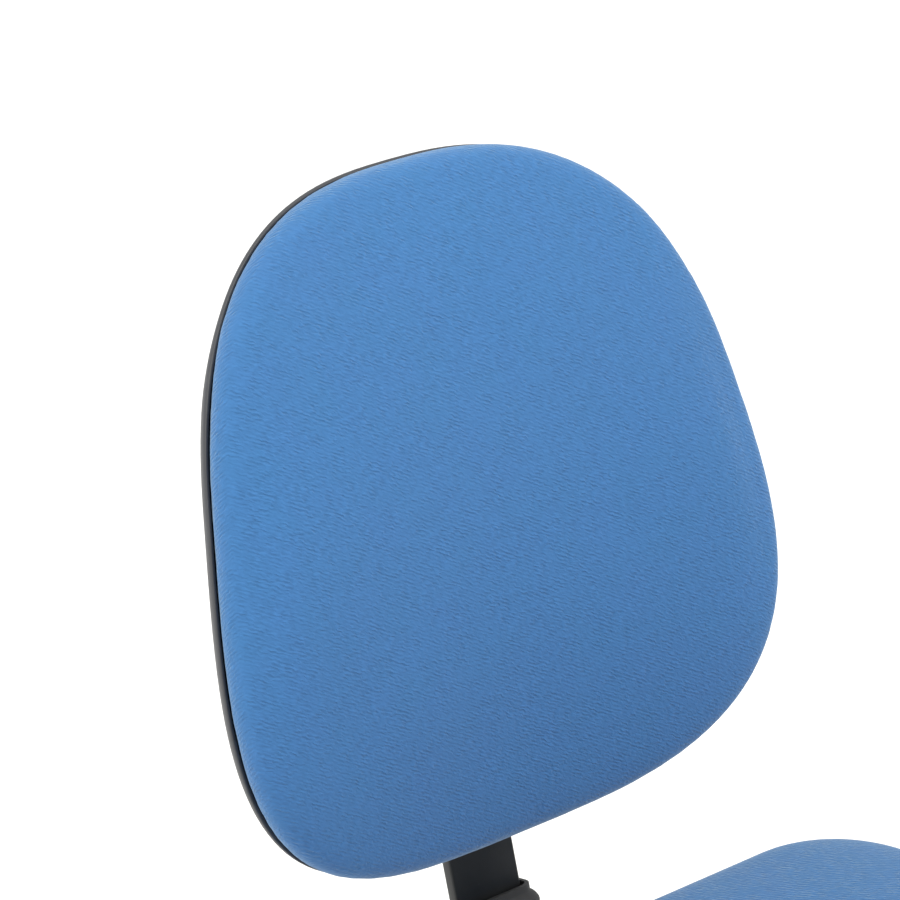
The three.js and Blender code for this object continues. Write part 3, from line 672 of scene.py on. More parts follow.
def make_back_shell():
    """The rear cover, slimmer towards its top rim, with bosses for the bracket's screws."""
    outer = [
        (0.03, 35), (0.3, 34), (0.55, 32.5), (0.74, 29.3), (0.87, 23.5), (0.945, 16.5), (0.985, 9.5),
        (0.999, 4), (1.001, 0.5), (0.998, -0.7), (0.990, -0.9), (0.985, 0.2),
    ]
    inner = [(0.980, 4), (0.968, 9), (0.92, 15.5), (0.71, 27), (0.3, 31), (0.03, 31.5)]
    shell = back_skin("back_cover", outer + inner)
    for vertex in shell.data.vertices:
        point = vertex.co
        depth = point.y - bend(point)
        near_rim = 1 - eased_step(depth, 8 * MM, 30 * MM)
        slim = RIM_SLIMMING * near_rim * near_top(point)
        point.y = bend(point) + min(depth, 0) + max(depth, 0) * (1 - slim)
    shaded(shell, 60)
    boss = [(0, 26), (8, 26), (7.2, 39.9), (0, 39.9)]
    bosses = [turned("boss", boss, 0.8, on_back(x, 0, up), 40) for x, up in BRACKET_SCREWS]
    joined("back_cover", [shell, *bosses])
    replacing(shell, "back_shell")


# --- seat ---
SEAT_LOW, SEAT_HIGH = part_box("seat_pad")
SHELL_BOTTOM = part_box("seat_shell")[0].z / MM
SEAT_MIDDLE = (SEAT_LOW.y + SEAT_HIGH.y) / 2
SEAT_CORNER = 88 * MM
WATERFALL = 95 * MM  # the depth of the part of the seat that rolls down to its front edge


def seat_ring(inset, z, drop=0.0):
    """The seat's plan, drawn in by inset, at one height, with its front rolled down by drop."""
    arc_steps, side_steps = 14, 10
    half = SEAT_HIGH.x - inset
    radius = max(SEAT_CORNER - inset, 8 * MM)
    outline = rounded_rectangle(half, (SEAT_HIGH.y - SEAT_LOW.y) / 2 - inset, radius, arc_steps)
    n = len(outline)
    ring = []
    for i, (x, y) in enumerate(outline):
        following = outline[(i + 1) % n]
        pieces = side_steps if i % (arc_steps + 1) == arc_steps else 1
        for k in range(pieces):
            px = x + (following[0] - x) * k / pieces
            py = y + (following[1] - y) * k / pieces + SEAT_MIDDLE
            past = max(0, (SEAT_LOW.y + WATERFALL - py) / WATERFALL)
            ring.append(Vector((px, py, z - drop * past * past)))
    return ring


def seat_skin(name, profile):
    """A smooth skin over the seat's plan, from (inset, height, drop) points in millimetres."""
    rings = [seat_ring(i * MM, z * MM, d * MM) for i, z, d in eased(profile, 3)]
    return loft(name, rings)


def make_seat_pad():
    profile = [
        (140, 380.3, 0), (60, 380.3, 0), (18, 380.4, 0), (9, 388, 0), (7.5, 396, 0), (4, 399.2, 0),
        (0.5, 404, 0), (-0.5, 415, 3), (0, 427, 6), (5, 439, 12), (16, 446.5, 16), (45, 451, 17),
        (105, 454, 8), (150, 455, 2), (196, 455.3, 0),
    ]
    pad = seat_skin("seat_cushion", profile)

    def holds(point):
        return min(1, max(0, (451 * MM - point.z) / (12 * MM)))

    plump(pad, 1.2 * MM, 8 * MM, holds)
    replacing(pad, "seat_pad")


def cross_head(name, radius, at):
    """A pan head with a cross recess, standing on its place's Z axis."""
    profile = [(0, 0), (radius, 0), (radius, 1.1), (radius * 0.7, 2.4), (0, 2.8)]
    head = turned(name, profile, 0.5, at, 40)
    slots = [block("slot", (-x, -y, 1.5), (x, y, 4), at) for x, y in ((2.5, 0.5), (0.5, 2.5))]
    return shaded(carved(head, *slots), 35)


def make_seat_shell():
    """The tray under the seat, with the five screws that hold it."""
    profile = [
        (150, 362.4), (34, 362.4), (20, 363.4), (11, 366), (5.5, 370.5), (3.2, 377), (2.2, 390), (2, 396.6),
        (2.6, 398), (4.2, 398), (5, 396.4), (6.6, 377.4), (9, 371), (14, 368.4), (35, 365.6), (150, 365.6),
    ]
    shell = seat_skin("seat_cover", [(inset, z, 0) for inset, z in profile])
    shaded(shell, 60)
    replacing(shell, "seat_shell")
    middle = SEAT_MIDDLE / MM
    for i, (x, y) in enumerate([(-165, -150), (0, -165), (165, -150), (-165, 115), (165, 115)]):
        at = moved(x, y + middle, SHELL_BOTTOM) @ Matrix.Rotation(pi, 4, "X")
        fitted(cross_head(f"shell_screw_{i + 1}", 4.2, at), "plated_steel", "seat_frame")


# --- five-star base ---
HUB_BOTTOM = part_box("star_base")[0].z / MM
STEM_CIRCLE = (joint_point("castor_1_swivel") - joint_point("seat_swivel")).xy.length
GAP = 0.3  # between pieces that rest on or run in each other, in millimetres
STEM_R = 5.5
AXLE_R = 3.7


def arm_turn(index):
    """The front arm comes first, and the rest follow towards +X."""
    return Matrix.Rotation(radians(-90 + 72 * index), 4, "Z")


def arm_socket(index):
    """The foot of the socket's axis at the end of an arm."""
    return arm_turn(index) @ Matrix.Translation((STEM_CIRCLE, 0, 0))


def arm_section(x, half, top, bottom, inset=0.0):
    """One arm's cross-section: drafted sides and a crowned roof, in millimetres."""
    steps = 10
    side, roof = half - inset, top - inset
    crown = 9 if inset == 0 else 6
    points = [(side * 1.04, bottom)]
    for i in range(steps + 1):
        at = pi * i / steps
        across = copysign(abs(cos(at)) ** 0.55, cos(at))
        points.append((side * across, roof - crown + crown * abs(sin(at)) ** 0.8))
    points.append((-side * 1.04, bottom))
    return [Vector((x, y, z)) * MM for y, z in points]


def make_arm(index):
    """One arm's solids: a hollow channel with five ribs and a spar, and a socket."""
    turn = arm_turn(index)
    stations = [
        (20, 26, 114, 62), (60, 23.2, 110.5, 65), (95, 21.5, 107, 67), (150, 19.5, 102.5, 68),
        (200, 18, 98, 68), (245, 17, 93.5, 66), (277, 16.5, 90, 64), (290, 15.5, 89, 64),
        (297, 12, 87.5, 64.5), (301.5, 7, 85, 66),
    ]
    arm = loft("arm", [arm_section(*s) for s in stations], turn)
    hollow = [(30, 25, 112, 55), (95, 21.5, 107, 55), (200, 18, 98, 55), (271, 16.7, 91, 55)]
    carved(arm, loft("channel", [arm_section(*s, inset=3.4) for s in hollow], turn))
    ribs = [block("rib", (x, -15.5, 71), (x + 2.4, 15.5, 92), turn) for x in (75, 115, 150, 185, 225)]
    spar = block("spar", (28, -1.3, 73), (275, 1.3, 90), turn)
    socket = cylinder("socket", 12.5, 60.6, 86, arm_socket(index))
    return [arm, *ribs, spar, socket]


def make_star_base():
    """Five arms blended into the hub, and then bored."""
    profile = [(0, HUB_BOTTOM), (38, HUB_BOTTOM), (37, 100), (34.5, 116), (31, 121.6), (0, 121.8)]
    hub = turned("star_base_moulding", profile, 3, sides=96)
    arms = [piece for i in range(5) for piece in make_arm(i)]
    base = joined("star_base_moulding", [hub, *arms])
    modified(base, "REMESH", mode="VOXEL", voxel_size=1.5 * MM)
    modified(base, "SMOOTH", factor=0.5, iterations=16)
    bore = revolve("bore", [(0, 0.05), (24.7 * MM, 0.05), (25.5 * MM, 0.13), (0, 0.13)])
    holes = [cylinder("hole", STEM_R + GAP, 50, 83, arm_socket(i)) for i in range(5)]
    carved(base, bore, *holes)
    base.matrix_world = COLUMN_AT
    shaded(base, 50)
    replacing(base, "star_base")


# --- castors ---
WHEEL_R = joint_point("castor_1_left_spin").z / MM
TRAIL = (joint_point("castor_1_left_spin") - joint_point("castor_1_swivel")).xy.length / MM
WHEEL_INNER = 5  # from the castor's middle plane to a wheel's inner face
WEB_HALF = 4.6  # half the thickness of the fork's middle web
HOOD_INNER = 27.4


AXLE_AT = moved(TRAIL, 0, WHEEL_R)


def castor_place(number):
    """Floor point under a castor's stem, turned so that +X leads to its axle."""
    stem = joint_point(f"castor_{number}_swivel")
    axle = joint_point(f"castor_{number}_left_spin")
    yaw = atan2(axle.y - stem.y, axle.x - stem.x)
    return Matrix.Translation((stem.x, stem.y, 0)) @ Matrix.Rotation(yaw, 4, "Z")


def castor_fork():
    """Hood over both wheels: a curved fender, its middle web and the swivel boss."""
    upright = Matrix.Rotation(pi / 2, 4, "X")
    centre = (TRAIL, WHEEL_R)
    band = arc(*centre, 30, 3, 192, 44) + arc(*centre, HOOD_INNER, 192, 3, 44)
    fender = rounded_edges(extruded("hood", band, -22, 22, upright), 1.1)
    plate = arc(*centre, HOOD_INNER + 1.2, 5, 190, 40) + arc(*centre, 11, 215, 325, 10)
    web = rounded_edges(extruded("web", plate, -WEB_HALF, WEB_HALF, upright), 1, 2)
    boss = turned("boss", [(0, 36), (9.6, 36), (10, 54), (9.2, 58), (0, 58)], 1.2)
    skirt = turned("skirt", [(0, 49), (14.5, 49), (12.5, 52.5), (10.5, 56), (0, 56)], 2.5)
    hood = united(fender, web, boss, skirt)
    middle = AXLE_AT @ Y_AXIS_AT
    sides = ((WEB_HALF + 0.1, 40), (-40, -WEB_HALF - 0.1))
    carved(hood, *[cylinder("room", HOOD_INNER - 0.8, *side, middle) for side in sides])
    shaded(hood, 35)
    hood.data.transform(upright)
    hood.matrix_world = Matrix()
    return hood


def castor_wheel():
    """One wheel along +Z from its inner face, with six ribs round a raised hub."""
    bore = AXLE_R + GAP
    rim = [
        (bore, 0), (22.5, 0), (24.6, 1.2), (WHEEL_R, 3), (WHEEL_R, 13.5), (24.2, 15.6), (22, 16.8),
        (20.2, 16.6), (19.2, 14), (9.5, 12.6), (8.6, 15.4), (7.4, 16.4), (bore, 16.6),
    ]
    wheel = turned("wheel", rim, 0.7, sides=72)
    for i in range(6):
        spoke = Matrix.Rotation(2 * pi * i / 6, 4, "Z")
        united(wheel, block("rib", (8, -0.9, 12), (20.5, 0.9, 15.4), spoke, 0.5, 2))
    return shaded(wheel, 35)


def castor_pin():
    """The swivel stem, with its collar between the hood and the arm."""
    profile = [
        (0, 40.4), (STEM_R, 40.4), (STEM_R, 58.3), (8.5, 58.3), (8.5, 60.3), (STEM_R, 60.3),
        (STEM_R, 79), (4, 82), (0, 82),
    ]
    return turned("pin", profile, 0.4, sides=48)


def castor_spindle():
    """The wheels' axle, with domed ends."""
    profile = [(0, -20.6), (2.6, -20.4), (AXLE_R, -19.4), (AXLE_R, 19.4), (2.6, 20.4), (0, 20.6)]
    return turned("spindle", profile, 0.5, sides=40)


def make_castors():
    fork, wheel, pin, spindle = castor_fork(), castor_wheel(), castor_pin(), castor_spindle()
    for number in range(1, 6):
        castor = f"castor_{number}"
        at = castor_place(number)
        axle = at @ AXLE_AT
        replacing(copied(fork, f"{castor}_fork", at), f"{castor}_hood")
        replacing(copied(pin, f"{castor}_pin", at), f"{castor}_stem")
        replacing(copied(spindle, f"{castor}_spindle", axle @ Y_AXIS_AT), f"{castor}_axle")
        for side, sign in (("left", 1), ("right", -1)):
            outward = Matrix.Rotation(-sign * pi / 2, 4, "X")
            inner = axle @ moved(0, sign * WHEEL_INNER, 0) @ outward
            replacing(copied(wheel, f"{castor}_tyre_{side}", inner), f"{castor}_wheel_{side}")
    for pattern in (fork, wheel, pin, spindle):
        bpy.data.objects.remove(pattern)


# --- column ---
def make_column():
    """Three sleeves that telescope over the lift; the upper one flares at its top."""
    sleeves = [
        ("lower", 26.5, 122.3, 237, 0),
        ("middle", 29.4, 150, 268, 0),
        ("upper", 32.3, 180, 325.6, 3),
    ]
    for name, inside, bottom, top, flare in sleeves:
        outside, lip = inside + 2, inside + 2.5
        neck = top - 14
        profile = [
            (inside, bottom), (lip, bottom), (lip, bottom + 5), (outside, bottom + 6.5),
            (outside, neck), (outside + flare, top), (inside + flare, top), (inside, neck),
        ]
        cover = turned(f"column_sleeve_{name}", profile, 0.7, COLUMN_AT, 96)
        replacing(cover, f"column_cover_{name}")


# --- gas lift ---
TUBE_R = 25
TUBE_INNER = 22
CYLINDER_R = 14
CONE_R = 13.4  # the cylinder's radius at the top of its taper
ROD_R = 5
ROD_HOLE = ROD_R + GAP
BUTTON_R = 3


def make_gas_lift():
    """Every part of the lift as a solid of revolution."""
    bush_r = TUBE_INNER - GAP
    button_hole = BUTTON_R + 0.4
    parts = [
        ("lift_tube", "lift_outer_tube", [
            (ROD_HOLE, 56), (24.2, 56), (TUBE_R, 118), (TUBE_R, 262), (TUBE_INNER, 262), (TUBE_INNER, 60),
            (ROD_HOLE, 60),
        ]),
        ("lift_bush", "lift_guide_bush", [
            (CYLINDER_R + GAP, 205), (bush_r, 205), (bush_r, 262.3), (24.5, 262.3), (24.5, 265),
            (CYLINDER_R + GAP, 265),
        ]),
        ("lift_bearing", "lift_thrust_bearing", [
            (5.6, 60.3), (13, 60.3), (14, 64.5), (13, 69), (5.6, 69),
        ]),
        ("lift_rod", "piston_rod", [
            (0, 48), (ROD_R, 48), (ROD_R, 238), (11.4, 238), (11.4, 252), (ROD_R, 252), (3, 256), (0, 256),
        ]),
        ("lift_clip", "lift_retaining_clip", [
            (ROD_HOLE, 52.5), (9, 52.5), (9, 54.5), (ROD_HOLE, 54.5),
        ]),
        ("lift_inner", "lift_cylinder", [
            (ROD_HOLE, 70), (CYLINDER_R, 70), (CYLINDER_R, 303), (CONE_R, 345), (button_hole, 345),
            (button_hole, 318), (12, 318), (12, 76), (ROD_HOLE, 76),
        ]),
        ("lift_button", "lift_valve_button", [
            (0, 322), (BUTTON_R, 322), (BUTTON_R, 349.6), (2.2, 350.6), (0, 350.6),
        ]),
    ]
    for name, node, profile in parts:
        replacing(turned(name, profile, 0.5, COLUMN_AT, 80), node)


# --- mechanism ---
MECH_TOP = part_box("mechanism_housing")[1].z / MM
PLATE = 3
MECH_ROOF = MECH_TOP - PLATE
MECH_HALF = 65
PIVOT_Y = (PIVOT.y - SWIVEL_Y) / MM
PIVOT_Z = PIVOT.z / MM
PIVOT_AT = placed(0, PIVOT_Y, PIVOT_Z) @ X_AXIS_AT
PIN_R = 6
LOCK_Y = (joint_point("lock_lever_turn").y - SWIVEL_Y) / MM
LOCK_Z = joint_point("lock_lever_turn").z / MM
LOCK_AT = placed(0, LOCK_Y, LOCK_Z) @ X_AXIS_AT
LOCK_R = 4
LEVER_Z = 354.8
SEAT_BOLTS = [(x, y) for y in (-58, 78) for x in (-78, 78)]
BOLT_R = 4


def make_mechanism():
    """Pressed-steel housing: channel, bolted flange, cross web and tapered socket."""
    wall = MECH_HALF - PLATE
    channel = block("mechanism_case", (-MECH_HALF, -75, 318), (MECH_HALF, 100, MECH_TOP), COLUMN_AT, 3, 4)
    carved(channel, block("inside", (-wall, -72, 300), (wall, 120, MECH_ROOF), COLUMN_AT, 1.2, 2))
    outline = rounded_rectangle(92, 85, 12)
    flange = rounded_edges(extruded("flange", outline, MECH_ROOF, MECH_TOP, placed(0, 10, 0)), 0.8, 2)
    web = block("web", (-63, -31, 326), (63, 31, 330), COLUMN_AT, 0.6, 2)
    socket = turned("socket", [(0, 304), (19, 304), (19, 344), (0, 344)], 1, COLUMN_AT)
    weld = turned("weld", [(0, 322), (20.5, 322.6), (22.8, 326.5), (0, 327)], 1, COLUMN_AT)
    beads = [
        block("bead", (side - 1.6, -40, z), (side + 1.6, 34, z + 5), COLUMN_AT, 1.5)
        for side in (-MECH_HALF, MECH_HALF) for z in (330, 345)
    ]
    united(channel, flange, web, socket, weld, *beads)
    bottom, top = CYLINDER_R + GAP, CONE_R + GAP
    taper = [(0, 299), (bottom, 299), (bottom, 303), (top, 345.5), (0, 345.5)]
    cuts = [
        turned("taper", taper, 0.2, COLUMN_AT),
        cylinder("pin_hole", PIN_R + GAP, -80, 80, PIVOT_AT),
        cylinder("lock_hole", LOCK_R + 0.4, -70, -53, LOCK_AT),
        block("lever_slot", (-70, -5, LEVER_Z - 5), (-53, 5, LEVER_Z + 4), COLUMN_AT, 1, 2),
    ]
    for x, y in SEAT_BOLTS:
        cuts.append(cylinder("bolt_hole", BOLT_R + GAP, MECH_ROOF - 1, MECH_TOP + 1, placed(x, y, 0)))
    carved(channel, *cuts)
    replacing(shaded(channel, 30), "mechanism_housing")

    pin = cylinder("pivot_pin", PIN_R, -70, 70, PIVOT_AT, 1)
    rings = [
        turned("ring", [(5.4, z), (8.6, z), (8.6, z + 1.2), (5.4, z + 1.2)], 0.3, PIVOT_AT)
        for z in (-67.4, 66.2)
    ]
    replacing(joined("recline_pin", [pin, *rings]), "recline_pivot_pin")


def swept(name, path, radius, reference, sides=20):
    """Round wire along a path, in millimetres, which never runs along reference."""
    points = [Vector(p) * MM for p in path]
    radius *= MM
    rings = []
    for i, point in enumerate(points):
        ahead = (points[min(i + 1, len(points) - 1)] - points[max(i - 1, 0)]).normalized()
        side = ahead.cross(reference).normalized()
        up = side.cross(ahead)
        turns = [2 * pi * k / sides for k in range(sides)]
        rings.append([point + (side * cos(t) + up * sin(t)) * radius for t in turns])
    return shaded(loft(name, rings, COLUMN_AT), 50)


def make_springs():
    """A torsion spring each side of the pivot."""
    for side, node in ((-1, "recline_spring_left"), (1, "recline_spring_right")):
        turns, steps, coil, leg = 4, 28, 10.5, 15
        inner, outer = 36, 56
        path = [(side * inner, PIVOT_Y + coil, PIVOT_Z - leg)]
        for i in range(turns * steps + 1):
            at = 2 * pi * i / steps
            x = inner + (outer - inner) * i / (turns * steps)
            path.append((side * x, PIVOT_Y + coil * cos(at), PIVOT_Z + coil * sin(at)))
        path.append((side * outer, PIVOT_Y + coil, PIVOT_Z + leg))
        wire = swept(node.replace("spring", "coil"), path, 1.8, Vector((1, 0.05, 0)), 14)
        replacing(wire, node)


LEVER_DIP = 11  # the height lever's grip below its pivot
GRIP_END = -250


def lever_grip(name, x_in, y_low, y_high, z):
    """A flat paddle with four finger grooves across its top and bottom."""
    radius = 9
    middle = (y_low + y_high) / 2
    outline = [
        (x_in - radius, y_low),
        *arc(GRIP_END + radius, y_low + radius, radius, 270, 180, 8),
        *arc(GRIP_END + radius, y_high - radius, radius, 180, 90, 8),
        (x_in - radius, y_high), (x_in, middle + 8), (x_in, middle - 8),
    ]
    paddle = extruded(name, outline, z - 5.5, z + 5.5, COLUMN_AT)
    rounded_edges(paddle, 2.6, 4, 60)
    grooves = []
    for i in range(4):
        x = GRIP_END + 14 + 7 * i
        for low in (z - 8, z + 4.4):
            far = (x + 2.6, y_high - 5, low + 3.6)
            grooves.append(block("groove", (x, y_low + 5, low), far, COLUMN_AT, 1.1))
    return shaded(carved(paddle, *grooves), 40)


def make_levers():
    """Height lever, and recline lock lever behind it, under the seat's right side."""
    bends = [(9, 0), (-70, 0), (-92, -3), (-118, -9), (-150, -LEVER_DIP), (-205, -LEVER_DIP)]
    path = [(x, 0, LEVER_Z + rise) for x, rise in eased(bends, 8)]
    rod = swept("height_rod", path, 3.5, Vector((0, 1, 0)))
    replacing(rod, "height_lever_rod")
    height_grip = lever_grip("height_grip", -172, -15, 15, LEVER_Z - LEVER_DIP)
    replacing(height_grip, "height_lever_grip")

    lock_rod = cylinder("lock_rod", LOCK_R, -212, -34, LOCK_AT, 0.8)
    cam = block("cam", (-42, LOCK_Y - 3, LOCK_Z - 3.5), (-35, LOCK_Y + 9, LOCK_Z + 3.5), COLUMN_AT, 1.2)
    replacing(joined("lock_rod", [lock_rod, cam]), "lock_lever_rod")
    lock_grip = lever_grip("lock_grip", -180, LOCK_Y - 11, LOCK_Y + 24, LOCK_Z)
    replacing(lock_grip, "lock_lever_grip")


def hexagon_head(size, low, high, at):
    """A hexagon head with its corners chamfered off underneath, size across its flats."""
    corners = [(size / 3**0.5 * cos(pi * k / 3), size / 3**0.5 * sin(pi * k / 3)) for k in range(6)]
    head = extruded("head", corners, low, high, at)
    cone = [(0, low), (size / 2, low), (size * 0.6, low + 1.2), (size * 0.6, high + 1), (0, high + 1)]
    return boolean(head, "INTERSECT", turned("cone", cone, 0.1, at))


def make_seat_bolts():
    """The bolts through the housing into the seat board, with washers."""
    under = MECH_ROOF - GAP
    for i, (x, y) in enumerate(SEAT_BOLTS):
        at = placed(x, y, 0)
        head = hexagon_head(12, under - 5.5, under - 1, at)
        washer = cylinder("washer", 8.4, under - 1.4, under, at, 0.4)
        shank = cylinder("shank", BOLT_R, under - 1, 378, at, 0.4)
        bolt = shaded(joined(f"seat_screw_{i + 1}", [head, washer, shank]), 30)
        replacing(bolt, f"seat_bolt_{i + 1}")


# --- spine ---
BAR_HALF = 26
BAR_FLAT = 5  # half the bar's thickness
BAR_BACK = 57 * MM
BAR_BEND = 50 * MM
BAR_START = SWIVEL_Y + 76 * MM
BAR_RISE = atan2(BACK_UP.z, BACK_UP.y)
BAR_LINE = BACK_CENTRE + BACK_OUT * BAR_BACK
BAR_CORNER_UP = (PIVOT.z - BAR_LINE.z) / BACK_UP.z
BAR_TANGENT = BAR_BEND * tan(BAR_RISE / 2)
BAR_LEVEL = BAR_LINE.y + BAR_CORNER_UP * BACK_UP.y - BAR_TANGENT - BAR_START
BAR_ARC = BAR_BEND * BAR_RISE
BAR_LENGTH = BAR_LEVEL + BAR_ARC - BAR_CORNER_UP - BAR_TANGENT


def bar_place(distance):
    """The spine's middle line: level, round the bend, then up behind the backrest."""
    bent = min(max(distance - BAR_LEVEL, 0), BAR_ARC)
    heading = bent / BAR_BEND
    straight = min(distance, BAR_LEVEL)
    risen = max(distance - BAR_LEVEL - BAR_ARC, 0)
    y = BAR_START + straight + BAR_BEND * sin(heading) + risen * cos(BAR_RISE)
    z = PIVOT.z + BAR_BEND * (1 - cos(heading)) + risen * sin(BAR_RISE)
    return Matrix.Translation((0, y, z)) @ Matrix.Rotation(heading, 4, "X")


def bar_ring(distance, half_x, half_z, radius, steps=4):
    """A rounded rectangle square to the bar's line, in millimetres."""
    at = bar_place(distance)
    return [at @ Vector((x * MM, 0, z * MM)) for x, z in rounded_rectangle(half_x, half_z, radius, steps)]


def make_spine():
    """The bent steel bar, notched behind the backrest, and its yoke on the pivot pin."""
    corner = 7
    places = [0] + [BAR_LEVEL + BAR_ARC * i / 24 for i in range(25)]
    rings = [bar_ring(place, BAR_HALF, BAR_FLAT, 2) for place in places]
    for i in range(9):
        angle = pi / 2 * i / 8
        place = BAR_LENGTH - corner * (1 - sin(angle)) * MM
        rings.append(bar_ring(place, BAR_HALF - corner * (1 - cos(angle)), BAR_FLAT, 2))
    bar = loft("spine_steel", rings)
    depth = BAR_BACK / MM
    notches = [
        block("notch", (-9, depth + 3.4, up - 3), (9, depth + 8, up + 3), BACK_AT, 1.2, 2)
        for up in (-24, -48, -72, -176, -200)
    ]
    carved(bar, *notches)
    replacing(shaded(rounded_edges(bar, 0.5, 2, 50), 35), "spine_bar")

    hub = cylinder("spine_clamp", 11, -29, 29, PIVOT_AT, 1.2, 64)
    jaw = block("jaw", (-29, PIVOT_Y, PIVOT_Z - 10), (29, 132, PIVOT_Z + 10), COLUMN_AT, 2, 4)
    united(hub, jaw)
    wide, thick = BAR_HALF + GAP, BAR_FLAT + GAP
    room = block("room", (-wide, 75.7, PIVOT_Z - thick), (wide, 140, PIVOT_Z + thick), COLUMN_AT, 1, 2)
    bore = cylinder("bore", PIN_R + GAP, -40, 40, PIVOT_AT)
    carved(hub, room, bore)
    replacing(shaded(hub, 35), "spine_yoke")


def make_gaiter():
    """Concertina boot over the spine's bend: ten folds between two collars."""
    folds, steps = 10, 12
    start, end = 100 * MM, BAR_LEVEL + BAR_ARC + 42 * MM
    collar = 5 * MM

    def ring(place, grow=0):
        return bar_ring(place, 31 + grow, 13 + grow, 9 + grow * 0.6, 6)

    rings = [ring(start), ring(start + collar * 0.8)]
    for i in range(folds * steps + 1):
        place = start + collar + (end - start - 2 * collar) * i / (folds * steps)
        rings.append(ring(place, 4.5 * abs(sin(pi * i / steps)) ** 0.8))
    rings += [ring(end - collar * 0.8), ring(end)]
    rings += [bar_ring(end + (start - end) * i / 24, 28.5, 9.5, 6, 6) for i in range(25)]
    bellows = shaded(loft("spine_bellows", rings, hollow=True), 60)
    replacing(bellows, "spine_gaiter")


# --- backrest fittings ---
KNOB_Z = KNOB_UP / MM
STUD_R = 4
BRACKET_SCREWS = [(x, KNOB_Z + z) for x in (-37.5, 37.5) for z in (-50, 55)]


def on_back(x, depth, up):
    """A place in the backrest's frame, in millimetres, with its Z axis pointing back."""
    return BACK_AT @ moved(x, depth, up) @ Y_AXIS_AT


def make_back_slide():
    """Bracket screwed to the shell, with the block that slides on the spine."""
    outline = rounded_rectangle(44, 62.5, 9)
    bracket = rounded_edges(extruded("back_carrier", outline, 0, 5, on_back(0, 40, KNOB_Z + 2.5)), 1)
    slide = block("slide", (-31, 43, KNOB_Z - 45), (31, 68, KNOB_Z + 45), BACK_AT, 3, 4)
    united(bracket, slide)
    wide, thick = BAR_HALF + GAP, BAR_FLAT + GAP
    near, far = BAR_BACK / MM - thick, BAR_BACK / MM + thick
    room = block("room", (-wide, near, KNOB_Z - 75), (wide, far, KNOB_Z + 75), BACK_AT, 1, 2)
    stud = cylinder("stud_hole", STUD_R + 0.4, 58, 80, on_back(0, 0, KNOB_Z))
    windows = [
        block("window", (-20, 66.6, low), (20, 72, low + 7), BACK_AT, 1, 2)
        for low in (KNOB_Z - 38, KNOB_Z + 31)
    ]
    carved(bracket, room, stud, *windows)
    replacing(shaded(bracket, 35), "back_slide_bracket")

    for i, (x, z) in enumerate(BRACKET_SCREWS):
        fitted(cross_head(f"back_screw_{i + 1}", 4.6, on_back(x, 45, z)), "plated_steel", "backrest")


def make_back_knob():
    """Seven-lobed handwheel with a dished face, on a threaded stud."""
    lobes, count = 7, 168
    at = on_back(0, KNOB_DEPTH / MM, KNOB_Z)

    def ring(inset, z):
        soften = max(0, 1 - inset / 6)
        points = []
        for i in range(count):
            angle = 2 * pi * i / count
            radius = 20.5 - inset + 1.8 * soften * cos(lobes * angle)
            points.append(Vector((radius * cos(angle), radius * sin(angle), z)) * MM)
        return points

    profile = [
        (18, 9), (4, 9), (2, 9.6), (0.6, 11), (0, 13), (0, 24), (0.5, 26.4), (1.8, 28.2),
        (3.6, 29), (5.4, 28.6), (6.4, 27.2), (7.5, 26.6), (12, 26.4), (12.6, 27.6), (13.4, 28), (20, 28.2),
    ]
    wheel = loft("back_handwheel", [ring(inset, z) for inset, z in profile], at)
    shaded(wheel, 50)
    neck = cylinder("neck", 9, 6.6, 12, at, 0.8)
    stud = cylinder("stud", STUD_R, 0.3, 10, at, 0.3)
    joined("back_handwheel", [wheel, neck, stud])
    replacing(wheel, "back_height_knob")


# --- stage, light and camera ---
def camera_axes(azimuth, elevation):
    """The camera's right, up and backward directions."""
    a, e = radians(azimuth), radians(elevation)
    right = Vector((cos(a), sin(a), 0))
    back = Vector((sin(a) * cos(e), -cos(a) * cos(e), sin(e)))
    return right, back.cross(right), back


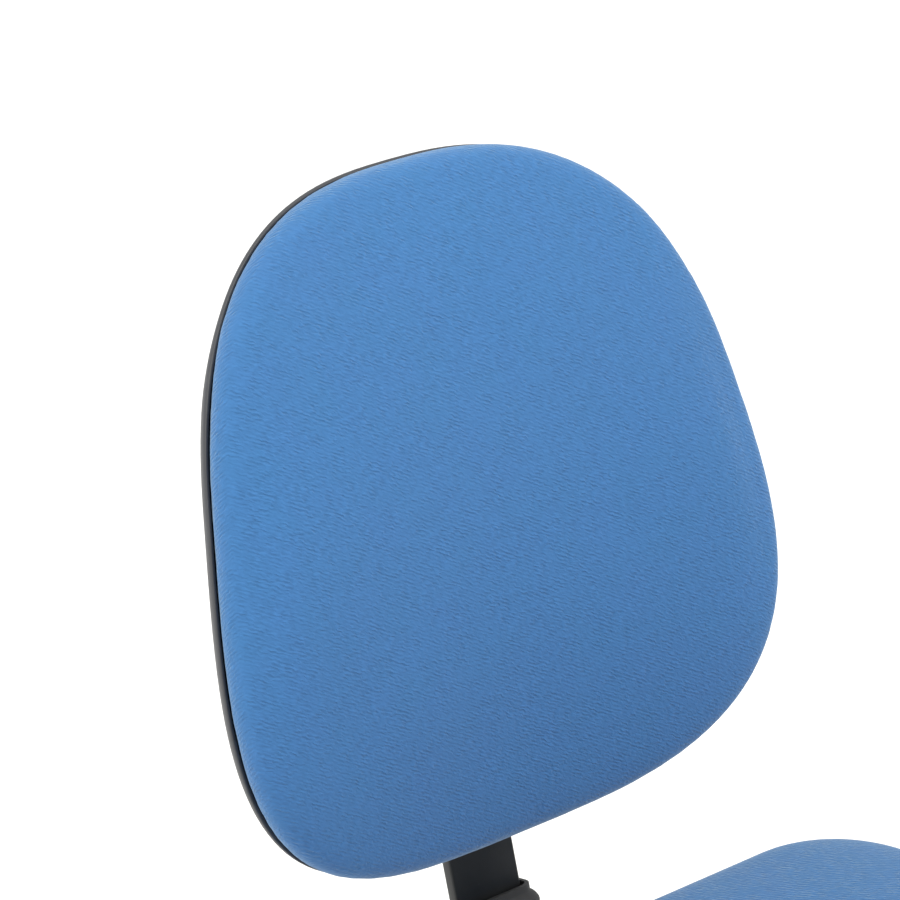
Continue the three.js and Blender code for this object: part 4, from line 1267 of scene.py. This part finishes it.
def make_camera():
    """The photo's viewpoint."""
    right, up, back = camera_axes(-37, 26.7)
    data = bpy.data.cameras.new("camera")
    data.lens = 148.6
    data.clip_end = 60
    place = BACK_CENTRE + 0.7 * MM * right - 4.8 * MM * up + 2.33 * back
    scene.camera = added("camera", data, axes_at(place, right, up, back))


def area_light(name, azimuth, elevation, distance, size, power, color=(1, 1, 1)):
    """A soft square light aimed at the chair's middle."""
    right, up, back = camera_axes(azimuth, elevation)
    data = bpy.data.lights.new(name, "AREA")
    data.size = size
    data.energy = power
    data.color = color
    added(name, data, axes_at(Vector((0, 0, 0.6)) + back * distance, right, up, back))


def make_stage():
    """A white floor, painted lighter away from the chair, under a bright sky and three soft lights."""
    reach = 30
    corners = [(-reach, -reach, 0), (reach, -reach, 0), (reach, reach, 0), (-reach, reach, 0)]
    floor = new_object("floor", corners, [(0, 1, 2, 3)])
    finish = Finish("floor_white", 0.9, specular=0.1)
    # Colour by distance from the chair: painted light, lighter far off where the lamps reach less, so the floor
    # renders evenly white.
    away = finish.add("ShaderNodeVectorMath", {0: finish.position}, operation="LENGTH")
    near = finish.mix(finish.noise(3, 3), (0.83, 0.832, 0.835, 1), (0.85, 0.852, 0.855, 1))
    far = (0.95, 0.95, 0.95, 1)
    finish.set("Base Color", finish.mix(finish.spread(away.outputs["Value"], 0, 1, 1.0, 3.5), near, far))
    floor.data.materials.append(finish.material)
    scene.world = bpy.data.worlds.new("studio")
    scene.world.use_nodes = True
    background = scene.world.node_tree.nodes["Background"]
    background.inputs["Color"].default_value = (0.985, 0.99, 1.0, 1)
    background.inputs["Strength"].default_value = 1.05
    area_light("key", -92, 35, 3.2, 2.0, 54, (1, 0.975, 0.90))
    area_light("top", -60, 80, 3.5, 2.5, 80, (1, 0.955, 0.80))
    area_light("fill", 60, 35, 3.6, 2.6, 54)
    scene.view_settings.view_transform = "Standard"


make_camera()
make_stage()
finish_cad_nodes()
make_back_pad()
make_back_shell()
make_seat_pad()
make_seat_shell()
make_star_base()
make_castors()
make_column()
make_gas_lift()
make_mechanism()
make_springs()
make_levers()
make_seat_bolts()
make_spine()
make_gaiter()
make_back_slide()
make_back_knob()
